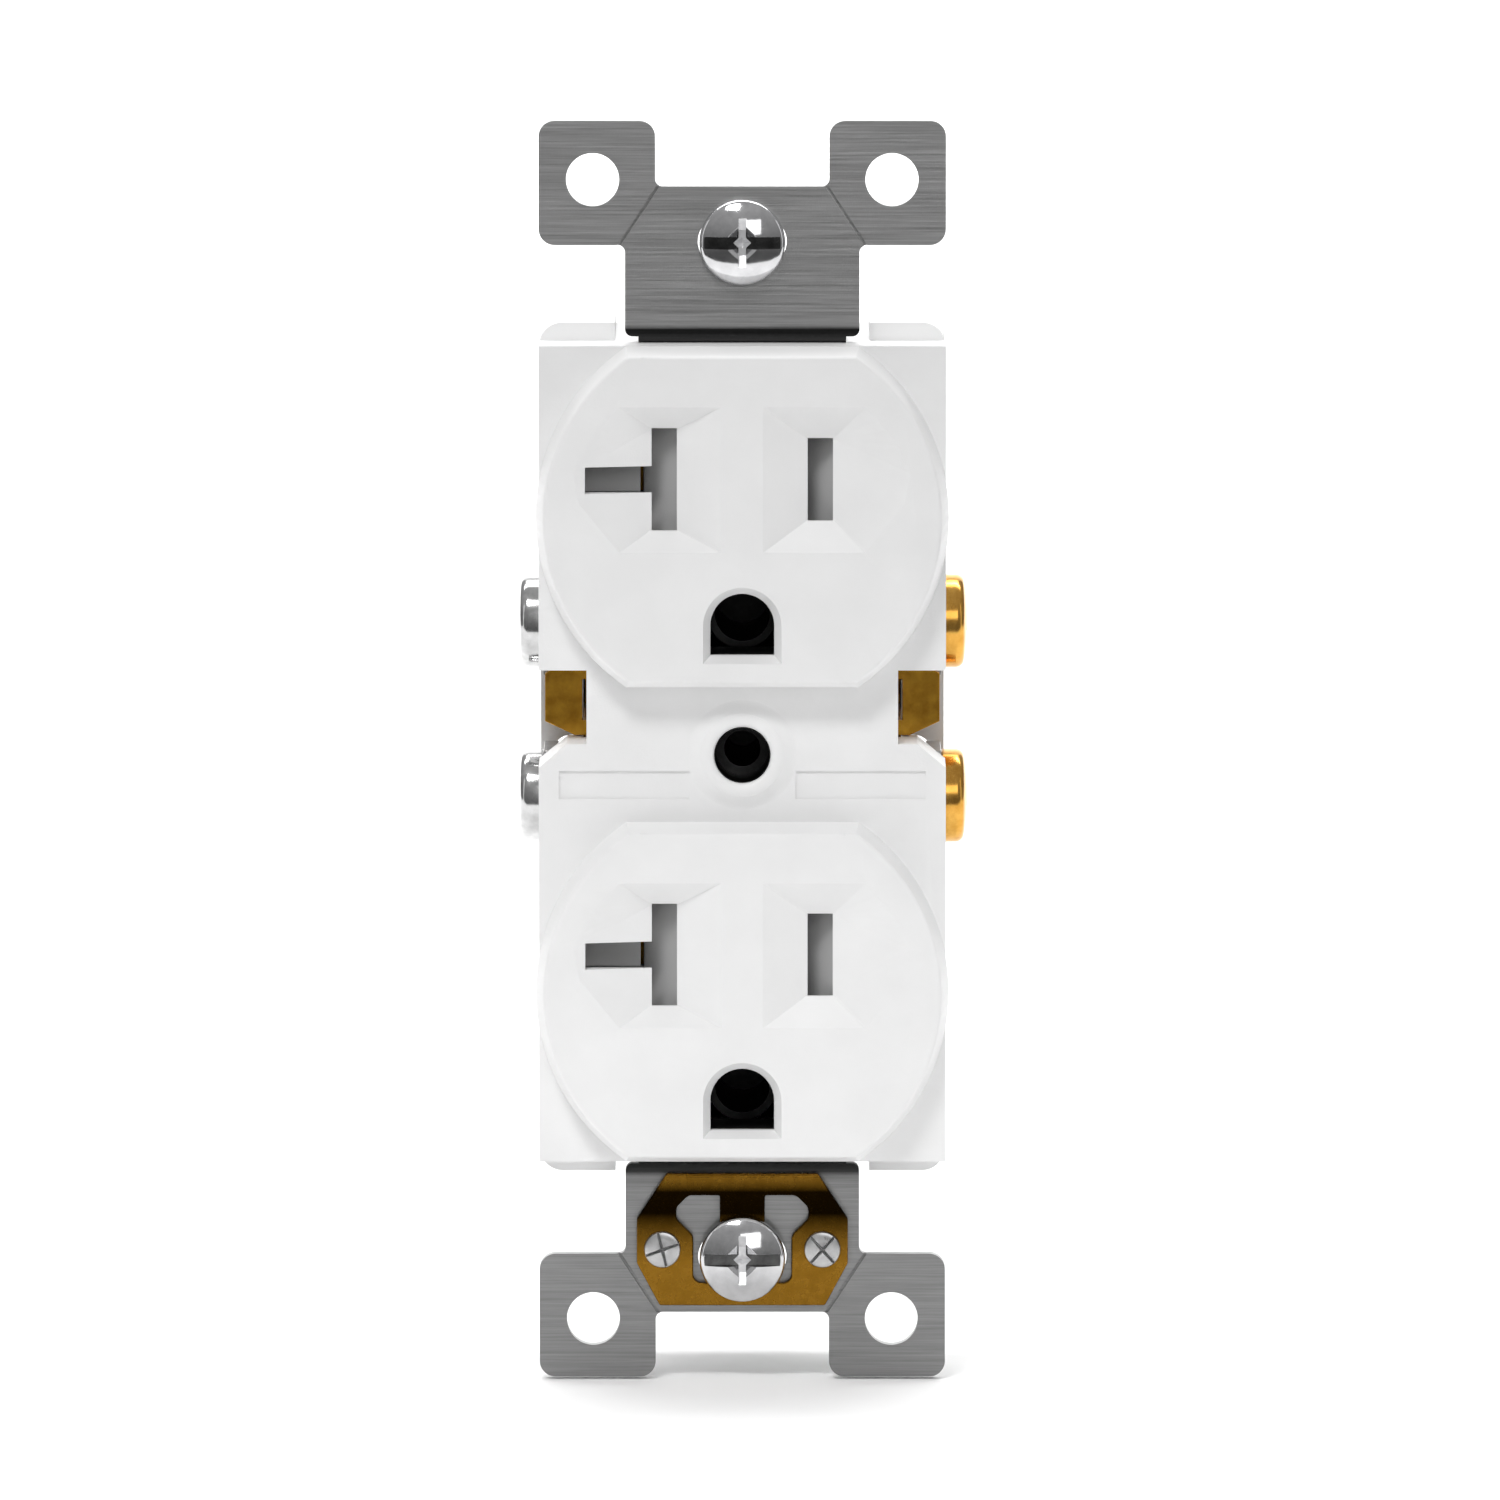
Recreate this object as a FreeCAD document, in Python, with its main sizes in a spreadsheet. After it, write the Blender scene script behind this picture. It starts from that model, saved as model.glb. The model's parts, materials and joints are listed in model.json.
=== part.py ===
import FreeCAD, Part
import math
import os
import re

import Sketcher

# Duplex wall outlet, 20 A 125 V, tamper resistant, self-grounding. Sizes are in millimetres.
# X runs to the right as seen from the front, Z runs up the long axis and the front faces -Y.
# The origin is the centre of the strap's rear face, which lies in the wall plane.

SIZES = [
    # Overall moulding
    ("body_width", 33.2),
    ("body_end", 34.87),
    ("cover_end", 33.4),
    ("shoulder_proud", 4.6),
    ("face_proud", 7.6),
    ("parting_depth", 1.5),
    ("body_depth", 20.7),
    ("body_corner", 1.9),
    ("wall", 2.0),
    # Outlet faces
    ("outlet_pitch", 38.9),
    ("face_radius", 16.85),
    ("face_flat", 13.93),
    ("face_draft", 12.0),
    ("face_edge", 0.3),
    ("blade_x", 6.35),
    ("blade_z", 3.2),
    ("bar_width", 2.06),
    ("bar_height", 8.37),
    ("arm_reach", 12.8),
    ("arm_height", 2.16),
    ("line_slot_height", 6.75),
    ("ground_z", -8.7),
    ("ground_radius", 2.6),
    ("ground_flat", 2.44),
    ("ground_lead", 0.6),
    ("funnel_depth", 1.15),
    ("funnel_lip", 0.9),
    ("funnel_top", 9.2),
    ("funnel_bottom", -2.65),
    ("funnel_inner", 1.7),
    ("funnel_shoulder", 10.0),
    ("funnel_low_x", 13.25),
    ("funnel_low_z", 1.3),
    ("funnel_high_x", 13.7),
    ("funnel_high_z", 3.8),
    ("funnel_curve", 14.4),
    # Middle of the cover
    ("boss_radius", 3.4),
    ("boss_proud", 0.5),
    ("screw_window", 2.3),
    ("window_lead", 0.6),
    ("pad_inner", 4.35),
    ("pad_outer", 14.95),
    ("pad_top", -1.32),
    ("pad_bottom", -3.64),
    ("pad_sink", 0.2),
    ("notch_x", 12.7),
    ("notch_top", 6.9),
    ("notch_bottom", 0.85),
    ("notch_slope_x", 2.3),
    ("notch_slope_z", 1.9),
    # Mounting strap
    ("strap_thick", 1.3),
    ("mount_pitch", 83.34),
    ("tab_width", 19.12),
    ("tab_start", 33.94),
    ("tab_end", 46.2),
    ("tab_corner", 0.6),
    ("tab_fold", 2.0),
    ("ear_inner", 7.1),
    ("ear_outer", 16.6),
    ("ear_start", 41.4),
    ("ear_end", 51.55),
    ("ear_corner", 1.3),
    ("ear_root", 0.6),
    ("ear_hole_x", 12.2),
    ("ear_hole_z", 46.75),
    ("ear_hole_radius", 2.17),
    ("mount_slot_width", 7.26),
    ("mount_slot_height", 4.28),
    ("score_width", 0.3),
    ("score_inset", 0.35),
    ("score_overrun", 0.4),
    ("riser_width", 16.95),
    ("channel_width", 20.8),
    ("band_width", 12.0),
    ("band_start", 6.0),
    ("bend_outer", 0.9),
    ("bend_inner", 0.4),
    # Self-grounding clip
    ("clip_thick", 0.8),
    ("clip_top", 34.7),
    ("clip_bottom", 45.57),
    ("clip_half", 8.64),
    ("clip_corner", 0.75),
    ("clip_shoulder_high", 38.4),
    ("clip_shoulder_low", 42.1),
    ("clip_top_half", 6.2),
    ("clip_bottom_half", 6.77),
    ("tongue_half", 1.84),
    ("tongue_end", 39.3),
    ("window_top", 36.5),
    ("window_lobe_start", 4.4),
    ("window_lobe_half", 5.4),
    ("window_lobe_top", 37.5),
    ("window_lobe_bottom", 38.4),
    ("window_waist_half", 4.02),
    ("window_waist_top", 39.8),
    ("window_bottom", 43.7),
    ("rivet_x", 6.55),
    ("rivet_z", -40.95),
    ("rivet_head", 1.5),
    ("rivet_shank", 1.0),
    ("rivet_head_height", 0.6),
    ("rivet_tail_flare", 0.5),
    ("rivet_tail_trim", 0.2),
    # Mounting screws
    ("mount_screw_radius", 1.75),
    ("mount_neck_radius", 1.45),
    ("mount_thread_start", 0.45),
    ("mount_screw_length", 23.0),
    ("mount_head_radius", 3.5),
    ("mount_head_height", 1.9),
    ("mount_head_edge", 1.3),
    ("retainer_radius", 3.2),
    ("retainer_thick", 0.4),
    ("drive_slot", 0.95),
    ("drive_slot_reach", 2.2),
    ("drive_point_reach", 1.6),
    ("drive_sink", 1.0),
    ("drive_overrun", 0.5),
    ("head_bottom_bevel", 0.4),
    ("running_gap", 0.05),
    ("slot_overcut", 0.5),
    ("fit_gap", 0.1),
    # Terminals
    ("terminal_top", 9.8),
    ("terminal_bottom", -4.6),
    ("terminal_depth", 8.0),
    ("terminal_reach", 18.55),
    ("terminal_head_radius", 3.84),
    ("terminal_head_height", 2.2),
    ("terminal_head_edge", 0.6),
    ("terminal_screw_radius", 2.08),
    ("terminal_screw_length", 8.0),
    ("clamp_thick", 1.2),
    ("clamp_width", 8.2),
    ("clamp_height", 8.2),
    ("ground_clamp_trim_x", 1.0),
    ("ground_clamp_trim_y", 1.6),
    ("bus_outer", 13.0),
    ("bus_thick", 1.2),
    ("bus_front", 3.2),
    ("bus_top", 26.4),
    ("bus_bottom", -20.2),
    ("arm_thick", 1.0),
    ("fin_front", 2.0),
    ("fin_outer", 16.15),
    ("fin_top", 6.8),
    ("fin_bottom", 0.95),
    ("fin_low_bevel_x", 2.45),
    ("fin_low_bevel_z", 1.15),
    ("fin_high_bevel_x", 1.15),
    ("fin_high_bevel_z", 0.8),
    ("fin_neck_bevel", 0.3),
    ("fin_neck", 1.25),
    ("fin_slot", 0.1),
    ("fin_window_rear", 2.0),
    ("bay_front", 3.2),
    ("bay_rear", 13.0),
    ("bay_margin", 4.5),
    ("wire_hole_radius", 1.6),
    ("wire_spread", 2.9),
    ("groove_half", 0.9),
    ("groove_depth", 0.5),
    # Blade contacts
    ("contact_thick", 0.7),
    ("contact_half", 1.9),
    ("contact_pinch", 0.55),
    ("contact_mouth", 1.3),
    ("contact_width", 7.2),
    ("contact_front", 2.2),
    ("contact_rear", 17.0),
    ("contact_rivet", 0.9),
    ("contact_bend", 5.5),
    ("contact_root", 9.0),
    ("rivet_end", 0.4),
    ("rivet_end_flare", 0.5),
    ("rivet_seat_flare", 0.25),
    # Ground path
    ("ground_strip_thick", 1.0),
    ("ground_strip_half", 3.2),
    ("strip_low", 3.1),
    ("strip_high", 4.0),
    ("strip_end_low", 3.0),
    ("strip_end_high", 3.8),
    ("sleeve_bore", 2.2),
    ("sleeve_wall", 0.7),
    ("sleeve_front", 4.0),
    ("sleeve_slit", 0.9),
    ("slit_overrun", 2.0),
    ("slit_reach", 4.0),
    ("post_radius", 2.6),
    ("post_bore", 1.42),
    ("post_front", 0.5),
    ("post_thread_depth", 16.0),
    ("liner_half", 3.9),
    ("liner_top", 3.7),
    ("liner_bottom", -3.6),
    ("green_x", 5.6),
    ("green_depth", 8.0),
    ("green_head_height", 1.9),
    ("green_slot_sink", 1.0),
    ("green_lift", 1.6),
    ("green_head_flats", 6.6),
    # Shutters
    ("shutter_left", -8.05),
    ("shutter_right", 9.7),
    ("shutter_top", 8.1),
    ("shutter_bottom", -1.7),
    ("shutter_front", -5.4),
    ("shutter_rear", -1.6),
    ("shutter_travel", 3.0),
    ("ramp_run", 3.4),
    ("ramp_depth", 3.0),
    ("cavity_front_half", 13.2),
    ("cavity_rear_half", 14.8),
    ("cavity_step", -4.0),
    ("cavity_top", 9.8),
    ("cavity_bottom", -3.4),
    ("carrier_front", -1.5),
    ("carrier_rear", -0.3),
    ("flap_x", -13.6),
    ("flap_depth", -3.2),
    ("flap_tip", -8.3),
    ("flap_thick", 0.6),
    ("flap_half", 1.2),
    ("flap_barrel", 0.5),
    ("flap_pin", 0.35),
    ("flap_lug", 0.8),
    ("spring_coil", 1.0),
    ("spring_wire", 0.16),
    ("spring_depth", -2.8),
    ("spring_turns", 5.0),
    # Assembly screws
    ("joint_screw_x", 13.2),
    ("joint_screw_z", 31.2),
    ("joint_screw_radius", 1.2),
    ("joint_head_radius", 2.4),
    ("joint_head_sink", 2.0),
    ("joint_head_thick", 1.6),
    ("joint_screw_tip", -1.8),
]

UPPER = 1
LOWER = -1
LEFT = -1
RIGHT = 1
CUT_CLEAR = "2"

os.makedirs("parts", exist_ok=True)
doc = FreeCAD.newDocument("duplex_outlet")
sheet = doc.addObject("Spreadsheet::Sheet", "sizes")
for row, (name, value) in enumerate(SIZES, start=1):
    sheet.set("A%d" % row, name)
    sheet.set("B%d" % row, str(value))
    sheet.setAlias("B%d" % row, name)
doc.recompute()

NAMES = {name for name, value in SIZES}
WORD = re.compile(r"[A-Za-z_]\w*")
PLANES = {"front": ("XZ_Plane", -1), "side": ("YZ_Plane", 1), "top": ("XY_Plane", 1)}
sub_parts = []


def bound(formula):
    """Point every size name in a formula at its cell in the size sheet."""
    return WORD.sub(lambda word: "sizes." + word.group() if word.group() in NAMES else word.group(), formula)


def number(formula):
    """The present value of a formula."""
    return float(sheet.evalExpression(bound(formula)))


def times(sign, formula):
    """The formula, or its mirror image when the sign is negative."""
    return formula if sign > 0 else "-1 * (%s)" % formula


def plus(*terms):
    """The sum of several formulas."""
    return " + ".join("(%s)" % term for term in terms)


# ---------------------------------------------------------------- outlines

def rectangle(left, right, bottom, top):
    return [(left, bottom), (right, bottom), (right, top), (left, top)]


def circle(x, z, radius):
    return ("circle", x, z, radius)


def obround(x, z, half_straight, radius):
    """A slot with round ends, drawn as quarter arcs so that every corner is tied to the sheet."""
    left = "(%s) - (%s)" % (x, half_straight)
    right = "(%s) + (%s)" % (x, half_straight)
    top = "(%s) + (%s)" % (z, radius)
    bottom = "(%s) - (%s)" % (z, radius)
    return [
        (left, bottom),
        (right, bottom, radius),
        ("%s + (%s)" % (right, radius), z, radius),
        (right, top),
        (left, top, radius),
        ("%s - (%s)" % (left, radius), z, radius),
    ]


def mirrored(outline):
    """The same outline reflected left to right, still running anticlockwise."""
    points = [(times(LEFT, corner[0]), corner[1]) for corner in outline]
    arcs = [corner[2:] for corner in outline]
    turned = []
    for i in range(len(outline) - 1, -1, -1):
        turned.append(points[i] + arcs[i - 1])
    return turned


def shifted(outline, rise):
    """The same outline moved up by a formula."""
    return [(corner[0], plus(corner[1], rise)) + corner[2:] for corner in outline]


def arc_between(start, end, radius):
    """An anticlockwise arc of the given radius from one point to the next."""
    middle = (start + end) * 0.5
    half = (end - start) * 0.5
    rise = math.sqrt(max(radius * radius - half.Length * half.Length, 0.0))
    inward = FreeCAD.Vector(-half.y, half.x, 0).normalize()
    centre = middle + inward * rise
    first = math.atan2(start.y - centre.y, start.x - centre.x)
    last = math.atan2(end.y - centre.y, end.x - centre.x)
    return Part.ArcOfCircle(Part.Circle(centre, FreeCAD.Vector(0, 0, 1), radius), first, last)


def tie(sketch, kind, shape, point, formula):
    """Hold one coordinate of a sketch point at a formula's value."""
    index = sketch.addConstraint(Sketcher.Constraint(kind, -1, 1, shape, point, number(formula)))
    sketch.setExpression("Constraints[%d]" % index, bound(formula))


def draw_circle(sketch, x, z, radius):
    centre = FreeCAD.Vector(number(x), number(z), 0)
    shape = sketch.addGeometry(Part.Circle(centre, FreeCAD.Vector(0, 0, 1), number(radius)))
    tie(sketch, "DistanceX", shape, 3, x)
    tie(sketch, "DistanceY", shape, 3, z)
    index = sketch.addConstraint(Sketcher.Constraint("Radius", shape, number(radius)))
    sketch.setExpression("Constraints[%d]" % index, bound(radius))


def draw_outline(sketch, outline):
    """Draw a closed outline. A corner with a third value starts an arc of that radius."""
    points = [FreeCAD.Vector(number(corner[0]), number(corner[1]), 0) for corner in outline]
    shapes = []
    for i, corner in enumerate(outline):
        start = points[i]
        end = points[(i + 1) % len(points)]
        if len(corner) > 2:
            shapes.append(sketch.addGeometry(arc_between(start, end, number(corner[2]))))
        else:
            shapes.append(sketch.addGeometry(Part.LineSegment(start, end)))
    for i, shape in enumerate(shapes):
        sketch.addConstraint(Sketcher.Constraint("Coincident", shape, 2, shapes[(i + 1) % len(shapes)], 1))
    for shape, corner in zip(shapes, outline):
        tie(sketch, "DistanceX", shape, 1, corner[0])
        tie(sketch, "DistanceY", shape, 1, corner[1])
        if len(corner) > 2:
            index = sketch.addConstraint(Sketcher.Constraint("Radius", shape, number(corner[2])))
            sketch.setExpression("Constraints[%d]" % index, bound(corner[2]))


# ---------------------------------------------------------------- features

def new_body(label):
    body = doc.addObject("PartDesign::Body", label)
    body.Label = label
    sub_parts.append(body)
    return body


def sketch_on(body, plane, level, outlines):
    """A sketch parallel to one of the body's own planes, at a level along that plane's world axis."""
    role, sense = PLANES[plane]
    sketch = body.newObject("Sketcher::SketchObject", "outline")
    sketch.AttachmentSupport = ([f for f in body.Origin.OriginFeatures if f.Role == role][0], [""])
    sketch.MapMode = "FlatFace"
    sketch.setExpression("AttachmentOffset.Base.z", bound(times(sense, level)))
    for outline in outlines:
        if outline[0] == "circle":
            draw_circle(sketch, *outline[1:])
        else:
            draw_outline(sketch, outline)
    return sketch


def extrude(body, kind, plane, start, end, outlines):
    """Pad or pocket some outlines from one level to another along the plane's world axis."""
    sense = PLANES[plane][1]
    feature = body.newObject("PartDesign::" + kind, kind.lower())
    feature.Profile = sketch_on(body, plane, start, outlines)
    feature.setExpression("Length", bound("abs((%s) - (%s))" % (end, start)))
    outward = (number(end) - number(start)) * sense > 0
    feature.Reversed = outward if kind == "Pocket" else not outward
    body.Tip = feature
    return feature


def add(body, plane, start, end, *outlines):
    return extrude(body, "Pad", plane, start, end, outlines)


def cut(body, plane, start, end, *outlines):
    """Cut outlines away, and stop the build if the cut takes nothing."""
    doc.recompute()
    before = body.Shape.Volume
    feature = extrude(body, "Pocket", plane, start, end, outlines)
    doc.recompute()
    if feature.Shape.isNull() or feature.Shape.Volume >= before:
        raise RuntimeError("a cut in %s took nothing away" % body.Label)
    return feature


def cut_funnel(body, outer_level, inner_level, outer, inner):
    """Cut a ruled funnel between two outlines that face the front."""
    feature = body.newObject("PartDesign::SubtractiveLoft", "funnel")
    feature.Profile = sketch_on(body, "front", outer_level, [outer])
    feature.Sections = [sketch_on(body, "front", inner_level, [inner])]
    feature.Ruled = True
    body.Tip = feature
    return feature


def edges_where(body, test):
    """Names of the body's edges whose centre, direction and length satisfy a test."""
    doc.recompute()
    names = []
    for i, edge in enumerate(body.Tip.Shape.Edges, start=1):
        if test(edge):
            names.append("Edge%d" % i)
    if not names:
        raise RuntimeError("no edges of %s to finish" % body.Label)
    return names


def runs_along(edge, axis):
    """Whether an edge is a straight line along X (0), Y (1) or Z (2)."""
    if not isinstance(edge.Curve, (Part.Line, Part.LineSegment)):
        return False
    step = edge.Vertexes[-1].Point - edge.Vertexes[0].Point
    return abs(abs(step[axis]) - step.Length) < 1e-6


def round_edges(body, radius, test):
    base = body.Tip
    names = edges_where(body, test)
    feature = body.newObject("PartDesign::Fillet", "round")
    feature.Base = (base, names)
    feature.setExpression("Radius", bound(radius))
    body.Tip = feature
    return feature


def bevel_edges(body, size, test):
    base = body.Tip
    names = edges_where(body, test)
    feature = body.newObject("PartDesign::Chamfer", "bevel")
    feature.Base = (base, names)
    feature.setExpression("Size", bound(size))
    body.Tip = feature
    return feature


def place(body, x, y, z, axis=(0, 0, 1), degrees=0):
    """Turn a body about its own origin and put that origin at a position given by formulas."""
    turn = FreeCAD.Rotation(FreeCAD.Vector(*axis), degrees)
    body.Placement = FreeCAD.Placement(FreeCAD.Vector(number(x), number(y), number(z)), turn)
    for coordinate, formula in zip("xyz", (x, y, z)):
        body.setExpression("Placement.Base." + coordinate, bound(formula))


def outlet_centre(row):
    return times(row, "outlet_pitch / 2")


# ---------------------------------------------------------------- moulded body

def face_outline(row):
    """Round face with a flat at the top and the bottom."""
    reach = "sqrt(face_radius ^ 2 - face_flat ^ 2)"
    outline = [
        ("-1 * " + reach, "-1 * face_flat"),
        (reach, "-1 * face_flat", "face_radius"),
        (reach, "face_flat"),
        ("-1 * " + reach, "face_flat", "face_radius"),
    ]
    return shifted(outline, outlet_centre(row))


def neutral_slot(row, grow="0"):
    """T-shaped slot: an upright bar with an arm reaching out to the left."""
    bar_left = "-1 * blade_x - bar_width / 2 - (%s)" % grow
    bar_right = "-1 * blade_x + bar_width / 2 + (%s)" % grow
    bar_top = "blade_z + bar_height / 2 + (%s)" % grow
    bar_bottom = "blade_z - bar_height / 2 - (%s)" % grow
    arm_end = "-1 * arm_reach - (%s)" % grow
    arm_top = "blade_z + arm_height / 2 + (%s)" % grow
    arm_bottom = "blade_z - arm_height / 2 - (%s)" % grow
    outline = [
        (bar_left, bar_bottom),
        (bar_right, bar_bottom),
        (bar_right, bar_top),
        (bar_left, bar_top),
        (bar_left, arm_top),
        (arm_end, arm_top),
        (arm_end, arm_bottom),
        (bar_left, arm_bottom),
    ]
    return shifted(outline, outlet_centre(row))


def line_slot(row, grow="0"):
    half_width = "bar_width / 2 + (%s)" % grow
    half_height = "line_slot_height / 2 + (%s)" % grow
    outline = rectangle(
        "blade_x - (%s)" % half_width,
        "blade_x + (%s)" % half_width,
        "blade_z - (%s)" % half_height,
        "blade_z + (%s)" % half_height,
    )
    return shifted(outline, outlet_centre(row))


def ground_slot(row, grow="0"):
    """Round-topped ground opening with a flat bottom."""
    radius = "ground_radius + (%s)" % grow
    outline = [
        ("-1 * (%s)" % radius, "-1 * ground_flat - (%s)" % grow),
        (radius, "-1 * ground_flat - (%s)" % grow),
        (radius, "0", radius),
        ("0", radius, radius),
        ("-1 * (%s)" % radius, "0"),
    ]
    return shifted(outline, plus(outlet_centre(row), "ground_z"))


def liner_outline(row, grow="0"):
    """Block of the dark ground liner that sits behind the face."""
    half = "liner_half + (%s)" % grow
    outline = rectangle("-1 * (%s)" % half, half,
                        "liner_bottom - (%s)" % grow, "liner_top + (%s)" % grow)
    return shifted(outline, plus(outlet_centre(row), "ground_z"))


def funnel_outer(row, side):
    """Edge of the sunken lead-in around a blade slot, on the face itself."""
    outline = [
        ("funnel_inner", "funnel_bottom"),
        ("funnel_shoulder", "funnel_bottom"),
        ("funnel_low_x", "funnel_low_z"),
        ("funnel_high_x", "funnel_high_z", "funnel_curve"),
        ("funnel_shoulder", "funnel_top"),
        ("funnel_inner", "funnel_top"),
    ]
    if side == LEFT:
        outline = mirrored(outline)
    return shifted(outline, outlet_centre(row))


def funnel_inner(row, side):
    """Bottom edge of the lead-in, on the slot's own corners."""
    half_height = "bar_height / 2" if side == LEFT else "line_slot_height / 2"
    near = "blade_x - bar_width / 2"
    far = "blade_x + bar_width / 2"
    outline = [
        (near, "blade_z - " + half_height),
        (far, "blade_z - " + half_height),
        (far, "blade_z - " + half_height + " * funnel_lip"),
        (far, "blade_z + " + half_height + " * funnel_lip"),
        (far, "blade_z + " + half_height),
        (near, "blade_z + " + half_height),
    ]
    if side == LEFT:
        outline = mirrored(outline)
    return shifted(outline, outlet_centre(row))


def side_notch(side):
    """Notch in the moulding's side that bares the break-off fin."""
    edge = "body_width / 2"
    outline = [
        ("notch_x", "notch_bottom"),
        (edge + " - notch_slope_x", "notch_bottom"),
        (edge, "notch_bottom - notch_slope_z"),
        (edge + " + " + CUT_CLEAR, "notch_bottom - notch_slope_z"),
        (edge + " + " + CUT_CLEAR, "notch_top"),
        ("notch_x", "notch_top"),
    ]
    return outline if side == RIGHT else mirrored(outline)


def make_face_cover():
    body = new_body("face_cover")
    half = "body_width / 2"
    add(body, "front", "parting_depth", "-1 * shoulder_proud",
        rectangle("-1 * " + half, half, "-1 * cover_end", "cover_end"))
    for row in (UPPER, LOWER):
        face = add(body, "front", "-1 * shoulder_proud", "-1 * face_proud", face_outline(row))
        face.setExpression("TaperAngle", bound("-1 * face_draft"))
    add(body, "front", "-1 * shoulder_proud", "-1 * shoulder_proud - boss_proud",
        circle("0", "0", "boss_radius"))
    round_edges(body, "face_edge", lambda edge: all(
        abs(vertex.Point.y + number("face_proud")) < 1e-4 for vertex in edge.Vertexes))

    floor = "wall - face_proud"
    for row in (UPPER, LOWER):
        centre = outlet_centre(row)
        cut(body, "front", "cavity_step", floor,
            shifted(rectangle("-1 * cavity_front_half", "cavity_front_half",
                              "shutter_bottom - 2 * fit_gap", "shutter_top + 2 * fit_gap"), centre))
        cut(body, "front", "parting_depth", "cavity_step",
            shifted(rectangle("-1 * cavity_rear_half", "cavity_rear_half",
                              "cavity_bottom", "cavity_top"), centre))
        for side in (LEFT, RIGHT):
            cut_funnel(body, "-1 * face_proud", "funnel_depth - face_proud",
                       funnel_outer(row, side), funnel_inner(row, side))
        cut_funnel(body, "-1 * face_proud", "funnel_depth - face_proud",
                   ground_slot(row, "ground_lead"), ground_slot(row))
        cut(body, "front", "-1 * face_proud", floor + " + slot_overcut", neutral_slot(row), line_slot(row))
        cut(body, "front", "parting_depth", floor, liner_outline(row, "fit_gap"))
        cut(body, "front", "-1 * face_proud", floor + " + slot_overcut", ground_slot(row))

    cut(body, "front", "-1 * shoulder_proud - boss_proud", "parting_depth",
        circle("0", "0", "screw_window"))
    cut(body, "front", "parting_depth", "post_front", circle("0", "0", "post_radius"))
    bevel_edges(body, "window_lead", lambda edge: isinstance(edge.Curve, Part.Circle)
                and abs(edge.Curve.Radius - number("screw_window")) < 1e-6
                and abs(edge.CenterOfMass.y + number("shoulder_proud + boss_proud")) < 1e-4)
    for side in (LEFT, RIGHT):
        label = rectangle("pad_inner", "pad_outer", "pad_bottom", "pad_top")
        cut(body, "front", "-1 * shoulder_proud", "pad_sink - shoulder_proud",
            label if side == RIGHT else mirrored(label))
        cut(body, "front", "-1 * shoulder_proud", "parting_depth", side_notch(side))
    corners = [(x, z) for x in (LEFT, RIGHT) for z in (UPPER, LOWER)]
    cut(body, "front", "parting_depth", "-2", *[
        circle(times(x, "joint_screw_x"), times(z, "joint_screw_z"), "joint_screw_radius")
        for x, z in corners])
    return body


def make_back_body():
    body = new_body("back_body")
    half = "body_width / 2"
    add(body, "front", "body_depth", "parting_depth",
        rectangle("-1 * " + half, half, "-1 * body_end", "body_end"))
    round_edges(body, "body_corner", lambda edge: runs_along(edge, 1))
    for row in (UPPER, LOWER):
        ends = sorted([times(row, "cover_end"), times(row, "body_end + " + CUT_CLEAR)], key=number)
        cut(body, "front", "parting_depth", "body_depth",
            rectangle("-1 * channel_width / 2", "channel_width / 2", *ends))

    inner = "blade_x - contact_half - 2.5 * fit_gap"
    outer = "bus_outer + fit_gap"
    for side in (LEFT, RIGHT):
        chamber = rectangle(inner, outer, "bus_bottom - " + CUT_CLEAR, "bus_top + " + CUT_CLEAR)
        bay = rectangle("bay_front", "bay_rear", "terminal_bottom - bay_margin", "terminal_top + bay_margin")
        cut(body, "front", "parting_depth", "body_depth - wall",
            chamber if side == RIGHT else mirrored(chamber))
        cut(body, "side", times(side, half), times(side, "bus_outer"), bay)
        cut(body, "front", "parting_depth", "bay_front", side_notch(side))
        for screw in ("terminal_top", "terminal_bottom"):
            cut(body, "front", "body_depth", "bay_rear", *[
                circle(times(side, "(bus_outer + terminal_reach - terminal_head_height - clamp_thick) / 2"),
                       plus(screw, times(spread, "wire_spread")), "wire_hole_radius")
                for spread in (UPPER, LOWER)])
    cut(body, "front", "parting_depth", "body_depth",
        rectangle("-1 * ground_strip_half - 2 * fit_gap", "ground_strip_half + 2 * fit_gap",
                  "ground_z - outlet_pitch / 2 - strip_low", "outlet_pitch / 2 + ground_z + strip_high"))
    corners = [(x, z) for x in (LEFT, RIGHT) for z in (UPPER, LOWER)]
    for radius, depth in (("joint_screw_radius", "parting_depth"),
                          ("joint_head_radius", "body_depth - joint_head_sink")):
        cut(body, "front", "body_depth", depth, *[
            circle(times(x, "joint_screw_x"), times(z, "joint_screw_z"), radius) for x, z in corners])
    cut(body, "top", "-1 * cover_end", "6 - cover_end",
        circle("green_x", "green_depth", "terminal_screw_radius + fit_gap"))
    return body


def make_assembly_screws():
    """Four long screws that draw the body and the cover together from the back."""
    body = new_body("assembly_screws")
    corners = [(x, z) for x in (LEFT, RIGHT) for z in (UPPER, LOWER)]
    body.AllowCompound = True
    add(body, "front", "body_depth - joint_head_sink + joint_head_thick", "body_depth - joint_head_sink", *[
        circle(times(x, "joint_screw_x"), times(z, "joint_screw_z"), "joint_head_radius - fit_gap")
        for x, z in corners])
    add(body, "front", "body_depth - joint_head_sink", "joint_screw_tip", *[
        circle(times(x, "joint_screw_x"), times(z, "joint_screw_z"), "joint_screw_radius")
        for x, z in corners])
    return body


# ---------------------------------------------------------------- strap and clip

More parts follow.
